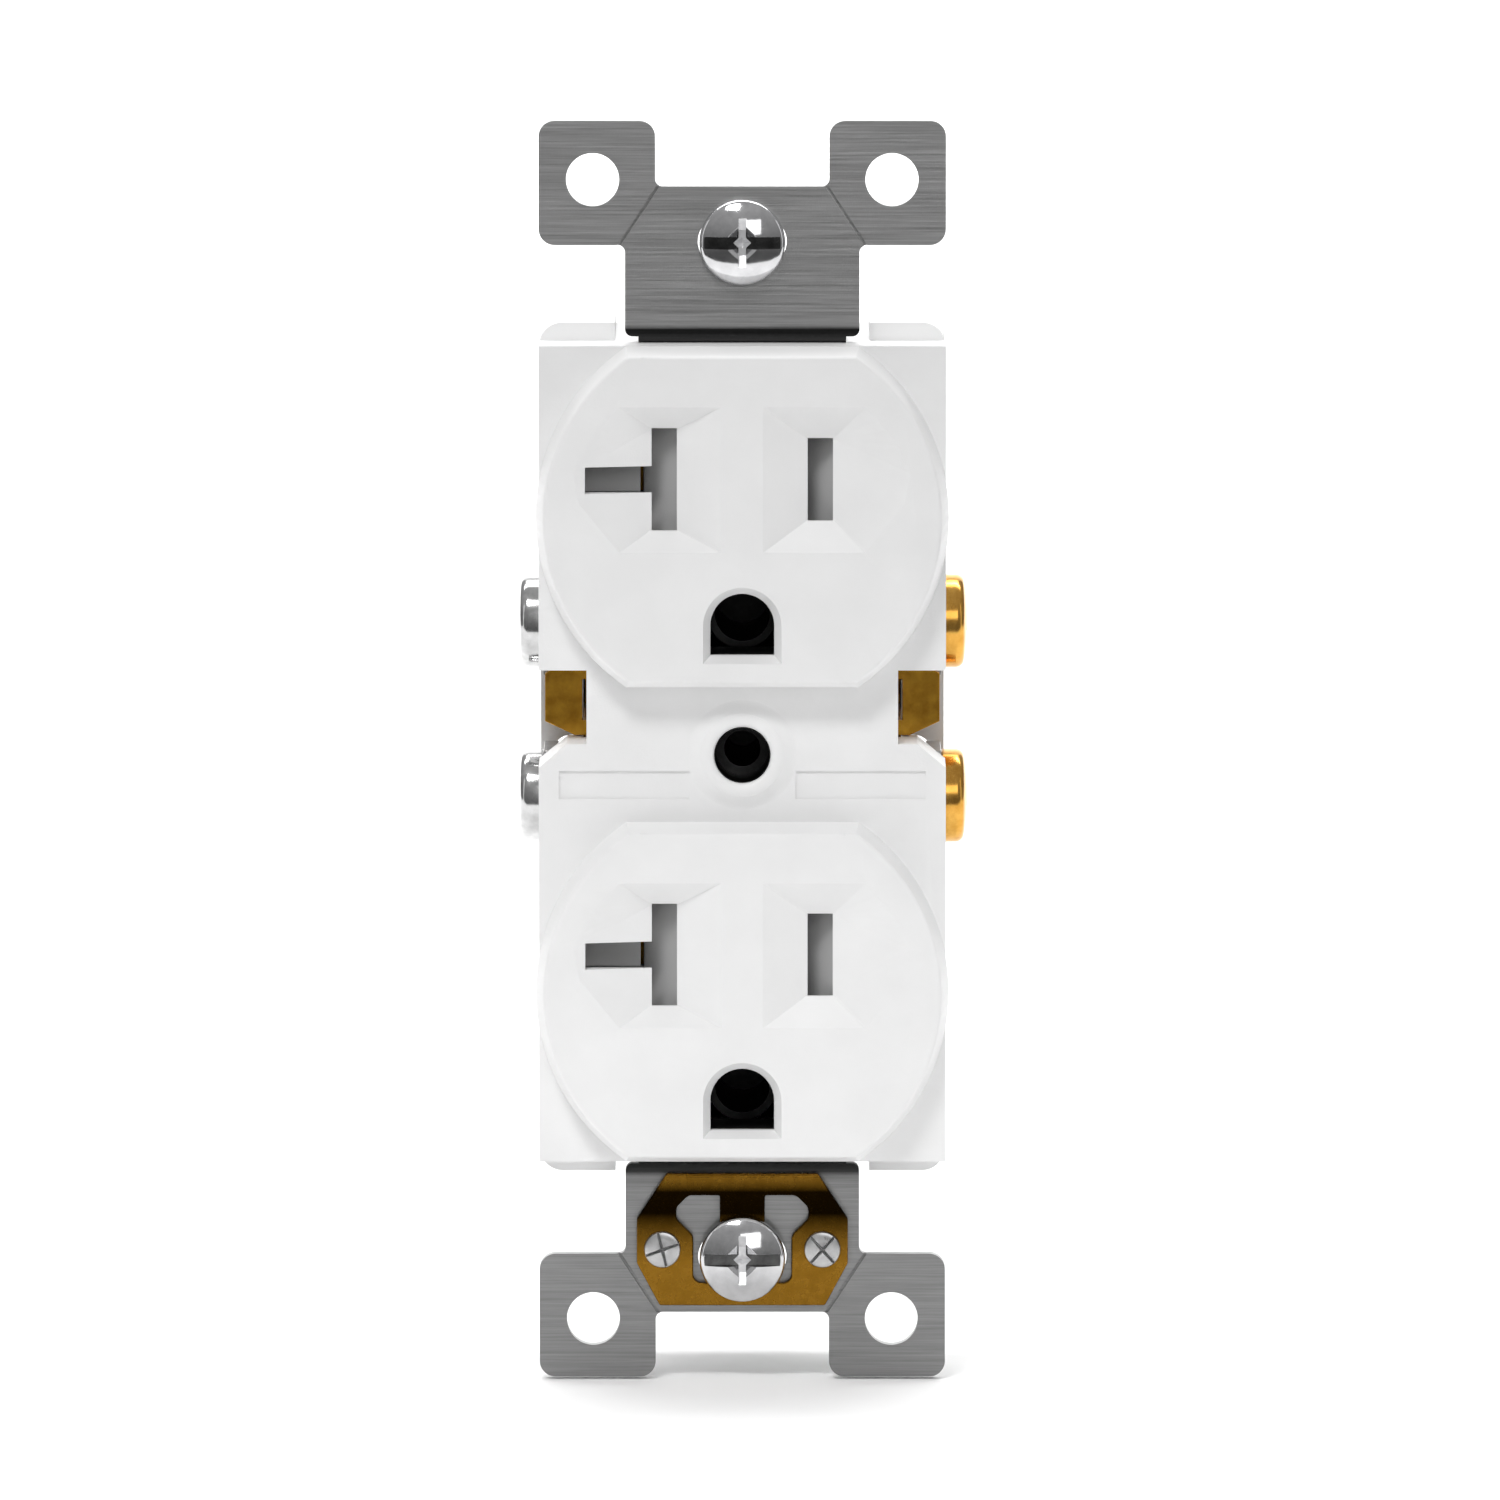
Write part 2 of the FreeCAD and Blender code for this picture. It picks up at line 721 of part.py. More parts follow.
def tab_outline(row):
    """Flat end of the strap: the tab and its two plaster ears in one outline."""
    outline = [
        ("-1 * tab_width / 2", "tab_start"),
        ("tab_width / 2", "tab_start"),
        ("tab_width / 2", "ear_start"),
        ("ear_outer", "ear_start"),
        ("ear_outer", "ear_end"),
        ("ear_inner", "ear_end"),
        ("ear_inner", "tab_end"),
        ("-1 * ear_inner", "tab_end"),
        ("-1 * ear_inner", "ear_end"),
        ("-1 * ear_outer", "ear_end"),
        ("-1 * ear_outer", "ear_start"),
        ("-1 * tab_width / 2", "ear_start"),
    ]
    if row == UPPER:
        return outline
    return [(x, times(LOWER, z)) for x, z in reversed(outline)]


def strap_section():
    """Side view of the bent strap: front tabs, risers and the band across the back."""
    tab = "tab_start + tab_fold"
    inner = "cover_end"
    outer = "cover_end + strap_thick"
    half = [
        ("-1 * strap_thick", tab),
        ("-1 * strap_thick", inner),
        ("body_depth", inner),
    ]
    back = [
        ("body_depth + strap_thick", outer),
        ("0", outer),
        ("0", tab),
    ]
    lower_inner = [(y, times(LOWER, z)) for y, z in reversed(half)]
    lower_outer = [(y, times(LOWER, z)) for y, z in reversed(back)]
    return half + lower_inner + lower_outer + back


def score_outline(row, side):
    """Narrow diagonal line across the root of a plaster ear."""
    inner_x = "ear_inner - score_inset"
    outer_x = "tab_width / 2 + score_overrun"
    near = [(inner_x, "tab_end"), (outer_x, "ear_start - fit_gap")]
    across = "score_width"
    outline = [
        near[0],
        near[1],
        (near[1][0] + " + " + across, near[1][1]),
        (near[0][0] + " + " + across, near[0][1]),
    ]
    if row == LOWER:
        outline = [(x, times(LOWER, z)) for x, z in reversed(outline)]
    return outline if side == RIGHT else mirrored(outline)


def at_corner(edge, x, z):
    """Whether an edge through the sheet stands on one of the four corners at this distance."""
    middle = edge.CenterOfMass
    return (runs_along(edge, 1) and abs(abs(middle.x) - number(x)) < 1e-4
            and abs(abs(middle.z) - number(z)) < 1e-4)


def make_mounting_strap():
    body = new_body("mounting_strap")
    add(body, "side", "-1 * riser_width / 2", "riser_width / 2", strap_section())
    front = "-1 * strap_thick"
    for row in (UPPER, LOWER):
        add(body, "front", "0", front, tab_outline(row))
    round_edges(body, "bend_outer", lambda edge: runs_along(edge, 0)
                and abs(abs(edge.CenterOfMass.z) - number("cover_end")) < 1e-4
                and abs(edge.CenterOfMass.y + number("strap_thick")) < 1e-4)
    round_edges(body, "strap_thick + bend_inner", lambda edge: runs_along(edge, 0)
                and abs(edge.CenterOfMass.y - number("body_depth + strap_thick")) < 1e-4)
    round_edges(body, "ear_corner", lambda edge: runs_along(edge, 1)
                and abs(abs(edge.CenterOfMass.x) - number("ear_outer")) < 1e-4)
    round_edges(body, "ear_corner", lambda edge: at_corner(edge, "ear_inner", "ear_end"))
    round_edges(body, "tab_corner", lambda edge: at_corner(edge, "tab_width / 2", "tab_start"))
    round_edges(body, "ear_root", lambda edge: at_corner(edge, "ear_inner", "tab_end")
                or at_corner(edge, "tab_width / 2", "ear_start"))
    for row in (UPPER, LOWER):
        centre = times(row, "mount_pitch / 2")
        cut(body, "front", front, "0",
            obround("0", centre, "(mount_slot_width - mount_slot_height) / 2", "mount_slot_height / 2"))
        for side in (LEFT, RIGHT):
            cut(body, "front", front, "0",
                circle(times(side, "ear_hole_x"), times(row, "ear_hole_z"), "ear_hole_radius"))
            cut(body, "front", front, "score_width - strap_thick", score_outline(row, side))
    for side in (LEFT, RIGHT):
        cut(body, "front", front, "0", circle(times(side, "rivet_x"), "rivet_z", "rivet_shank"))
        waist = rectangle("band_width / 2", "riser_width / 2 + " + CUT_CLEAR,
                          "band_start - cover_end", "cover_end - band_start")
        cut(body, "front", "body_depth + strap_thick", "body_depth",
            waist if side == RIGHT else mirrored(waist))
    cut(body, "top", "-1 * cover_end - strap_thick", "-1 * cover_end",
        circle("green_x", "green_depth", "terminal_screw_radius + running_gap"))
    return body


def make_self_grounding_clip():
    body = new_body("self_grounding_clip")
    outer = [
        ("-1 * clip_bottom_half", "-1 * clip_bottom"),
        ("clip_bottom_half", "-1 * clip_bottom"),
        ("clip_half", "-1 * clip_shoulder_low"),
        ("clip_half", "-1 * clip_shoulder_high"),
        ("clip_top_half", "-1 * clip_top"),
        ("-1 * clip_top_half", "-1 * clip_top"),
        ("-1 * clip_half", "-1 * clip_shoulder_high"),
        ("-1 * clip_half", "-1 * clip_shoulder_low"),
    ]
    right = [
        ("tongue_half", "-1 * tongue_end"),
        ("tongue_half", "-1 * window_top"),
        ("window_lobe_start", "-1 * window_top"),
        ("window_lobe_half", "-1 * window_lobe_top"),
        ("window_lobe_half", "-1 * window_lobe_bottom"),
        ("window_waist_half", "-1 * window_waist_top"),
        ("window_waist_half", "-1 * window_bottom"),
    ]
    left = [(times(LEFT, x), z) for x, z in reversed(right)]
    window = left + right
    front = "-1 * strap_thick - clip_thick"
    add(body, "front", "-1 * strap_thick", front, outer)
    cut(body, "front", front, "-1 * strap_thick", window)
    cut(body, "front", front, "-1 * strap_thick", *[
        circle(times(side, "rivet_x"), "rivet_z", "rivet_shank") for side in (LEFT, RIGHT)])
    round_edges(body, "clip_corner", lambda edge: runs_along(edge, 1)
                and number("tongue_half + 0.1") < abs(edge.CenterOfMass.x) < 6
                and edge.CenterOfMass.z < -36)
    bevel_edges(body, "clip_thick / 4", lambda edge: runs_along(edge, 0)
                and abs(edge.CenterOfMass.y - number(front)) < 1e-4
                and abs(edge.CenterOfMass.z + number("clip_top")) < 1e-4)
    return body


def make_clip_rivets():
    body = new_body("clip_rivets")
    body.AllowCompound = True
    front = "-1 * strap_thick - clip_thick"
    levels = [
        ("rivet_shank", front, "0"),
        ("rivet_head", front, front + " - rivet_head_height"),
        ("rivet_head - rivet_tail_trim", "0", "rivet_tail_flare"),
    ]
    for radius, start, end in levels:
        add(body, "front", start, end, *[
            circle(times(side, "rivet_x"), "rivet_z", radius) for side in (LEFT, RIGHT)])
    return body


# ---------------------------------------------------------------- screws

def cut_combination_recess(body, top, head_radius, depth):
    """A straight slot across the head with a short cross arm at right angles."""
    half_slot = "drive_slot / 2"
    wide = plus(head_radius, "drive_overrun")
    floor = "(%s) - (%s)" % (top, depth)
    cut(body, "top", top, floor, rectangle("-1 * (%s)" % wide, wide, "-1 * " + half_slot, half_slot))
    cut(body, "top", top, floor,
        rectangle("-1 * " + half_slot, half_slot, "-1 * drive_slot_reach", "drive_slot_reach"))
    cut(body, "top", top, floor, [("0", "-1 * drive_point_reach"), ("drive_point_reach", "0"),
                                ("0", "drive_point_reach"), ("-1 * drive_point_reach", "0")])


def machine_screw(label, shank_radius, length, head_radius, head_height, edge, neck=None):
    """A screw standing head up on its own origin, which is the middle of the head's underside.

    A neck is a (radius, length) pair of formulas for a slimmer stretch under the head."""
    body = new_body(label)
    thread_start = "0"
    if neck:
        thread_start = "-1 * (%s)" % neck[1]
        add(body, "top", "0", thread_start, circle("0", "0", neck[0]))
    add(body, "top", thread_start, "-1 * " + length, circle("0", "0", shank_radius))
    add(body, "top", "0", head_height, circle("0", "0", head_radius))
    bevel_edges(body, "head_bottom_bevel", lambda e: isinstance(e.Curve, Part.Circle)
                and abs(e.CenterOfMass.z + number(length)) < 1e-4)
    round_edges(body, edge, lambda e: isinstance(e.Curve, Part.Circle)
                and abs(e.CenterOfMass.z - number(head_height)) < 1e-4)
    cut_combination_recess(body, head_height, head_radius, "drive_sink")
    return body


def make_mounting_screws():
    for row, label in ((UPPER, "upper_mounting_screw"), (LOWER, "lower_mounting_screw")):
        seat = "-1 * strap_thick - running_gap"
        if row == LOWER:
            seat = seat + " - clip_thick"
        screw = machine_screw(label, "mount_screw_radius", "mount_screw_length",
                              "mount_head_radius", "mount_head_height", "mount_head_edge",
                              ("mount_neck_radius", "mount_thread_start - (%s)" % seat))
        place(screw, "0", seat, times(row, "mount_pitch / 2"), (1, 0, 0), 90)


def make_screw_retainers():
    """Round fibre washers that grip the mounting screws behind the strap."""
    for row, label in ((UPPER, "upper_screw_retainer"), (LOWER, "lower_screw_retainer")):
        body = new_body(label)
        add(body, "front", "running_gap", "running_gap + retainer_thick",
            circle("0", "0", "retainer_radius"))
        cut(body, "front", "running_gap", "running_gap + retainer_thick",
            circle("0", "0", "mount_neck_radius + running_gap"))
        place(body, "0", "0", times(row, "mount_pitch / 2"))


def make_terminal_screws():
    seat = "terminal_reach - terminal_head_height"
    sides = (("neutral", LEFT), ("hot", RIGHT))
    rows = (("upper", "terminal_top"), ("lower", "terminal_bottom"))
    for side_name, side in sides:
        for row_name, height in rows:
            screw = machine_screw("%s_screw_%s" % (side_name, row_name), "terminal_screw_radius",
                                  "terminal_screw_length", "terminal_head_radius",
                                  "terminal_head_height", "terminal_head_edge")
            place(screw, times(side, seat), "terminal_depth", height, (0, 1, 0), 90 * side)


def make_clamp_plates():
    """Square pressure plates under the terminal heads, grooved where the wires lie."""
    sides = (("neutral", LEFT), ("hot", RIGHT))
    rows = (("upper", "terminal_top"), ("lower", "terminal_bottom"))
    for side_name, side in sides:
        for row_name, height in rows:
            plate = clamp_plate("%s_clamp_%s" % (side_name, row_name), "clamp_width", "clamp_height")
            place(plate, times(side, "terminal_reach - terminal_head_height - running_gap - clamp_thick"),
                  "terminal_depth", height, (0, 1, 0), 90 * side)


def clamp_plate(label, width, height):
    """A plate lying on its own origin plane with a screw hole in the middle and two wire grooves."""
    body = new_body(label)
    half_x = "(%s) / 2" % height
    half_y = "(%s) / 2" % width
    add(body, "top", "0", "clamp_thick",
        rectangle("-1 * " + half_x, half_x, "-1 * " + half_y, half_y))
    cut(body, "top", "clamp_thick", "0", circle("0", "0", "terminal_screw_radius + running_gap"))
    for side in (LEFT, RIGHT):
        groove = [("wire_spread - groove_half", "0"), ("wire_spread + groove_half", "0"),
                  ("wire_spread", "groove_depth")]
        cut(body, "front", "-1 * " + half_y, half_y, groove if side == RIGHT else mirrored(groove))
    return body


def make_ground_terminal():
    """Green hexagon-headed ground screw and its plate, below the bottom riser."""
    plate_level = "-1 * cover_end - strap_thick - green_lift"
    plate = clamp_plate("ground_clamp", "clamp_width - ground_clamp_trim_x",
                        "clamp_height - ground_clamp_trim_y")
    place(plate, "green_x", "green_depth", plate_level, (1, 0, 0), 180)
    body = new_body("ground_screw")
    add(body, "top", "0", "-1 * terminal_screw_length", circle("0", "0", "terminal_screw_radius"))
    corner = "green_head_flats / sqrt(3)"
    hexagon = [("%s * cos(%d deg)" % (corner, turn), "%s * sin(%d deg)" % (corner, turn))
               for turn in range(0, 360, 60)]
    add(body, "top", "0", "green_head_height", hexagon)
    cut(body, "top", "green_head_height", "green_head_height - green_slot_sink",
        rectangle("-1 * " + corner, corner, "-1 * drive_slot / 2", "drive_slot / 2"))
    place(body, "green_x", "green_depth", plate_level + " - clamp_thick - running_gap", (1, 0, 0), 180)


# ---------------------------------------------------------------- live parts

def make_bus(label, side):
    """Terminal plate of one pole with its break-off fin and the two arms that carry the contacts."""
    body = new_body(label)
    inner = "bus_outer - bus_thick"
    rear = "contact_rear + arm_thick"

    def sided(outline):
        return outline if side == RIGHT else mirrored(outline)

    add(body, "front", "bus_front", rear,
        sided(rectangle(inner, "bus_outer", "bus_bottom", "bus_top")))
    for row in (UPPER, LOWER):
        middle = plus(outlet_centre(row), "blade_z")
        arm = rectangle("blade_x - contact_half", inner,
                        middle + " - contact_width / 2", middle + " + contact_width / 2")
        add(body, "front", "contact_rear", rear, sided(arm))
        cut(body, "front", "contact_rear", rear,
            circle(times(side, "blade_x"), middle, "contact_rivet"))
    fin = [
        (inner, "fin_bottom"),
        ("fin_outer - fin_low_bevel_x", "fin_bottom"),
        ("fin_outer", "fin_bottom + fin_low_bevel_z"),
        ("fin_outer", "fin_top - fin_high_bevel_z"),
        ("fin_outer - fin_high_bevel_x", "fin_top"),
        ("bus_outer + fin_neck_bevel", "fin_top"),
        (inner, "fin_top - fin_neck_bevel"),
    ]
    add(body, "front", "bus_front", "fin_front", sided(fin))
    cut(body, "side", times(side, "bus_outer"), times(side, inner), *[
        circle("terminal_depth", height, "terminal_screw_radius + running_gap")
        for height in ("terminal_top", "terminal_bottom")])
    cut(body, "side", times(side, "bus_outer + fin_slot"), times(side, inner),
        rectangle("fin_front", rear + " - fin_window_rear", "fin_bottom + fin_neck", "fin_top - fin_neck"))
    return body


def make_contact(label, side, row):
    """Two spring leaves that pinch a blade, joined at the back."""
    body = new_body(label)
    front = "contact_front"
    rear = "contact_rear"
    right = [
        ("contact_half - contact_thick", rear + " - contact_thick"),
        ("contact_half - contact_thick", "contact_root"),
        ("contact_pinch", "contact_bend"),
        ("contact_mouth", front),
        ("contact_mouth + contact_thick", front),
        ("contact_pinch + contact_thick", "contact_bend"),
        ("contact_half", "contact_root"),
        ("contact_half", rear),
    ]
    left = [(times(LEFT, x), y) for x, y in reversed(right)]
    outline = [(plus(times(side, "blade_x"), x), y) for x, y in right + left]
    middle = plus(outlet_centre(row), "blade_z")
    add(body, "top", middle + " - contact_width / 2", middle + " + contact_width / 2", outline)
    cut(body, "front", rear + " - contact_thick", rear,
        circle(times(side, "blade_x"), middle, "contact_rivet"))
    return body


def make_contact_rivets():
    body = new_body("contact_rivets")
    body.AllowCompound = True
    centres = [(times(side, "blade_x"), plus(outlet_centre(row), "blade_z"))
               for side in (LEFT, RIGHT) for row in (UPPER, LOWER)]
    levels = [
        ("contact_rivet", "contact_rear - contact_thick", "contact_rear + arm_thick"),
        ("contact_rivet + rivet_seat_flare", "contact_rear - contact_thick",
         "contact_rear - contact_thick - rivet_end"),
        ("contact_rivet + rivet_end_flare", "contact_rear + arm_thick",
         "contact_rear + arm_thick + rivet_end"),
    ]
    for radius, start, end in levels:
        add(body, "front", start, end, *[circle(x, z, radius) for x, z in centres])
    return body


def make_ground_contacts():
    """Brass strip along the back of the body with a split sleeve for each ground pin."""
    strip = new_body("ground_contact_strip")
    rear = "body_depth"
    front = "body_depth - ground_strip_thick"
    centres = [plus(outlet_centre(row), "ground_z") for row in (UPPER, LOWER)]
    add(strip, "front", rear, front,
        rectangle("-1 * ground_strip_half", "ground_strip_half",
                  centres[1] + " - strip_end_low", centres[0] + " + strip_end_high"))
    cut(strip, "front", rear, front, circle("0", "0", "post_radius"))
    for label, centre in zip(("ground_sleeve_upper", "ground_sleeve_lower"), centres):
        sleeve = new_body(label)
        add(sleeve, "front", front, "sleeve_front", circle("0", centre, "sleeve_bore + sleeve_wall"))
        cut(sleeve, "front", front, "sleeve_front", circle("0", centre, "sleeve_bore"))
        cut(sleeve, "front", front + " - slit_overrun", "sleeve_front",
            rectangle("-1 * sleeve_slit / 2", "sleeve_slit / 2", centre, plus(centre, "slit_reach")))
    return strip


def make_plate_screw_post():
    """Threaded post that takes the wall plate's centre screw."""
    body = new_body("plate_screw_post")
    add(body, "front", "body_depth", "post_front", circle("0", "0", "post_radius"))
    cut(body, "front", "post_front", "post_front + post_thread_depth", circle("0", "0", "post_bore"))
    return body


# ---------------------------------------------------------------- shutters

def make_shutter(label, row):
    """Sliding block with a slope in front of each blade slot. Pushed right, it uncovers both slots."""
    body = new_body(label)
    centre = outlet_centre(row)
    bottom = plus(centre, "shutter_bottom")
    top = plus(centre, "shutter_top")
    gap = "2 * fit_gap"
    right_edge = "blade_x - bar_width / 2 - shutter_travel - " + gap
    right_open = "blade_x + bar_width / 2 - shutter_travel + " + gap
    add(body, "top", bottom, top,
        rectangle("shutter_left", "shutter_right", "shutter_front", "shutter_rear"))
    for start in ("shutter_left", right_open):
        slope = [(start, "shutter_front"), (start + " + ramp_run", "shutter_front"),
                 (start, "shutter_front + ramp_depth")]
        cut(body, "top", bottom, top, slope)
    cut(body, "front", "shutter_front", "shutter_rear",
        shifted(rectangle(right_edge, right_open, "blade_z - line_slot_height / 2 - " + gap,
                          "blade_z + line_slot_height / 2 + " + gap), centre))
    return body


def make_arm_flap(label, row):
    """Hinged leaf behind the arm of the T slot, lying flat at rest. Its origin is on its hinge axis."""
    body = new_body(label)
    half = "flap_half"
    reach = "flap_tip - flap_x"
    add(body, "top", "-1 * " + half, half,
        rectangle("0", reach, "-1 * flap_thick / 2", "flap_thick / 2"))
    add(body, "top", "-1 * " + half, half, circle("0", "0", "flap_barrel"))
    pin_end = "flap_half + fit_gap + flap_lug"
    add(body, "top", "-1 * (%s)" % pin_end, pin_end, circle("0", "0", "flap_pin"))
    place(body, "flap_x", "flap_depth", plus(outlet_centre(row), "blade_z"))
    return body


def make_ground_liner(label, row):
    """Dark block behind the face that guides a ground pin to its sleeve."""
    body = new_body(label)
    front = "wall - face_proud + fit_gap"
    add(body, "front", "parting_depth - fit_gap", front, liner_outline(row))
    cut(body, "front", front, "parting_depth - fit_gap", ground_slot(row))
    return body


def make_shutter_carrier(label, row):
    """Plate that closes the shutter's chamber, with openings for the blades."""
    body = new_body(label)
    centre = outlet_centre(row)
    add(body, "front", "carrier_rear", "carrier_front",
        shifted(rectangle("0.1 - cavity_rear_half", "cavity_rear_half - 0.1",
                          "cavity_bottom + 0.1", "cavity_top - 0.1"), centre))
    cut(body, "front", "carrier_front", "carrier_rear", neutral_slot(row, "0.3"), line_slot(row, "0.3"))
    middle = plus(centre, "blade_z")
    for side in (LOWER, UPPER):
        ends = sorted([plus(middle, times(side, "flap_half + 0.1")),
                       plus(middle, times(side, "flap_half + 0.1 + flap_lug"))], key=number)
        add(body, "front", "carrier_front", "flap_depth - 0.75",
            rectangle("flap_x - 0.7", "flap_x + 0.7", *ends))
        cut(body, "top", *ends, circle("flap_x", "flap_depth", "flap_pin + running_gap"))
    return body


def make_shutter_spring(label, row):
    """Coil spring between the shutter's right end and the chamber wall, wound along X."""
    body = new_body(label)
    length = "cavity_rear_half - shutter_right - 2 * spring_wire - 0.1"
    spring = body.newObject("PartDesign::AdditiveHelix", "coil")
    profile = sketch_on(body, "front", "0", [circle("spring_coil", "0", "spring_wire")])
    spring.Profile = profile
    spring.ReferenceAxis = (profile, ["V_Axis"])
    spring.Mode = "height-turns-angle"
    spring.setExpression("Height", bound(length))
    spring.setExpression("Turns", bound("spring_turns"))
    body.Tip = spring
    place(body, "shutter_right + spring_wire + 0.05", "spring_depth", plus(outlet_centre(row), "blade_z"),
          (0, 1, 0), 90)
    return body


# ---------------------------------------------------------------- assembly

make_face_cover()
make_back_body()
make_assembly_screws()
make_mounting_strap()
make_self_grounding_clip()
make_clip_rivets()
make_mounting_screws()
make_screw_retainers()
make_terminal_screws()
make_clamp_plates()
make_ground_terminal()
make_bus("neutral_bus", LEFT)
make_bus("hot_bus", RIGHT)
for side_name, side in (("neutral", LEFT), ("hot", RIGHT)):
    for row_name, row in (("upper", UPPER), ("lower", LOWER)):
        make_contact("%s_contact_%s" % (side_name, row_name), side, row)
make_contact_rivets()
make_ground_contacts()
make_plate_screw_post()
for row_name, row in (("upper", UPPER), ("lower", LOWER)):
    make_shutter(row_name + "_shutter", row)
    make_shutter_carrier(row_name + "_shutter_carrier", row)
    make_arm_flap(row_name + "_arm_flap", row)
    make_ground_liner(row_name + "_ground_liner", row)
    make_shutter_spring(row_name + "_shutter_spring", row)
doc.recompute()

for item in doc.Objects:
    for state in item.State:
        if state in ("Invalid", "Error"):
            raise RuntimeError("%s did not build" % item.Label)
for part in sub_parts:
    if part.Shape.isNull() or not part.Shape.isValid() or not part.Shape.Solids:
        raise RuntimeError("%s has no sound solid" % part.Label)
for part in sub_parts:
    part.Shape.exportStep(os.path.join("parts", part.Label + ".step"))
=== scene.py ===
"""The finished looks of the duplex wall outlet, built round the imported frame.

The scene is in metres. Sizes below are in mm, and MM turns them into metres.
"""

import json
import math

import bmesh
import bpy
from mathutils import Matrix, Vector


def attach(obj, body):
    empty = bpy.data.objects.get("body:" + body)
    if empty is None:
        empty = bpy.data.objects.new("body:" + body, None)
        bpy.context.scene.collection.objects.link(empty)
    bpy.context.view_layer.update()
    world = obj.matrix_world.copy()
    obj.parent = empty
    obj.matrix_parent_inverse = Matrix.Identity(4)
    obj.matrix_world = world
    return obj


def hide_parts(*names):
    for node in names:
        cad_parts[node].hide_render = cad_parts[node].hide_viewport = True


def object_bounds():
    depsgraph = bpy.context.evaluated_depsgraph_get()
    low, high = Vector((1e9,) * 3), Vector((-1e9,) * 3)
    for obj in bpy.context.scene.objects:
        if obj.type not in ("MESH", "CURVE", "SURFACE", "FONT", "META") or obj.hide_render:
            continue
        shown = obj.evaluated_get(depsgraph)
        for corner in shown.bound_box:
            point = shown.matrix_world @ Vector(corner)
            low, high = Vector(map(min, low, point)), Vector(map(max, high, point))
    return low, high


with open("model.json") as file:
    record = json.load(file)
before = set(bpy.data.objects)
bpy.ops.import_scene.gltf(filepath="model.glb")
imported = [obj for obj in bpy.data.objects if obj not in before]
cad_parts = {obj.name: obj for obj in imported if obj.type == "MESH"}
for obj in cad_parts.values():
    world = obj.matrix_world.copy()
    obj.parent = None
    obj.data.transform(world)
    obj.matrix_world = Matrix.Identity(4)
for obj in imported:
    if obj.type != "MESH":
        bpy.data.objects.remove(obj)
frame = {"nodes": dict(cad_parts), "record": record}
cad_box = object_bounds()

MM = 0.001

# the two faces: middles above and below the device's own, front plane, and blade slots from a face's middle
FACE_Z = 19.45
FACE_FRONT = -7.6
FUNNEL_FLOOR = -5.9
BLADE_X = 6.35
BLADE_Z = 3.2
BAR_WIDTH = 2.06
BAR_HEIGHT = 8.37
LINE_SLOT_HEIGHT = 6.75

# screws
BOX_SCREW_Z = 41.67
TERMINAL_X = 16.35
TERMINAL_Y = 8.0
TERMINAL_TOP_Z = 9.8
TERMINAL_BOTTOM_Z = -4.6
THREAD_PITCH = 0.794

# points of turned work closer than this are one point
TINY = 0.0005

SLOT_OF = {part["node"]: part["material_slot"] for part in frame["record"]["subparts"]}
BODY_OF = {node: body for body, nodes in frame["record"]["behaviour"]["bodies"].items() for node in nodes}


# ------------------------------------------------------------------ materials

class Recipe:
    """A material with a Principled shader, and short calls for the nodes that feed it."""

    def __init__(self, name, **constants):
        self.material = bpy.data.materials.new(name)
        self.material.use_nodes = True
        self.tree = self.material.node_tree
        self.shader = self.tree.nodes["Principled BSDF"]
        for socket, value in constants.items():
            self.shader.inputs[socket.replace("_", " ")].default_value = value
        self.place = self.node("ShaderNodeTexCoord").outputs["Object"]

    def node(self, kind, **settings):
        node = self.tree.nodes.new(kind)
        for key, value in settings.items():
            setattr(node, key, value)
        return node

    def link(self, source, target):
        self.tree.links.new(source, target)

    def stretched(self, scale):
        """Object coordinates scaled differently along each axis."""
        mapping = self.node("ShaderNodeMapping")
        mapping.inputs["Scale"].default_value = scale
        self.link(self.place, mapping.inputs["Vector"])
        return mapping.outputs["Vector"]

    def noise(self, scale, detail=4.0, roughness=0.5, vector=None):
        noise = self.node("ShaderNodeTexNoise")
        noise.inputs["Scale"].default_value = scale
        noise.inputs["Detail"].default_value = detail
        noise.inputs["Roughness"].default_value = roughness
        self.link(vector or self.place, noise.inputs["Vector"])
        return noise.outputs["Fac"]

    def ramp(self, source, *stops):
        ramp = self.node("ShaderNodeValToRGB")
        while len(ramp.color_ramp.elements) < len(stops):
            ramp.color_ramp.elements.new(0.5)
        for element, (position, colour) in zip(ramp.color_ramp.elements, stops):
            element.position = position
            element.color = (*colour, 1.0)
        self.link(source, ramp.inputs["Fac"])
        return ramp.outputs["Color"]

    def span(self, source, low, high):
        """Spread a 0..1 value between two numbers."""
        spread = self.node("ShaderNodeMapRange")
        spread.inputs["To Min"].default_value = low
        spread.inputs["To Max"].default_value = high
        self.link(source, spread.inputs["Value"])
        return spread.outputs["Result"]

    def bump(self, source, height, strength=1.0):
        bump = self.node("ShaderNodeBump")
        bump.inputs["Strength"].default_value = strength
        bump.inputs["Distance"].default_value = height
        self.link(source, bump.inputs["Height"])
        self.link(bump.outputs["Normal"], self.shader.inputs["Normal"])


def moulded_plastic(name, dark, light, roughness):
    """Moulded plastic with a fine spark-eroded grain and a faint mottling."""
    recipe = Recipe(name)
    mottle = recipe.noise(140.0, 3.0)
    recipe.link(recipe.ramp(mottle, (0.3, dark), (0.7, light)), recipe.shader.inputs["Base Color"])
    grain = recipe.noise(5200.0, 2.0, 0.6)
    recipe.link(recipe.span(grain, roughness - 0.06, roughness + 0.06), recipe.shader.inputs["Roughness"])
    recipe.bump(grain, 0.00003, 0.35)
    return recipe.material


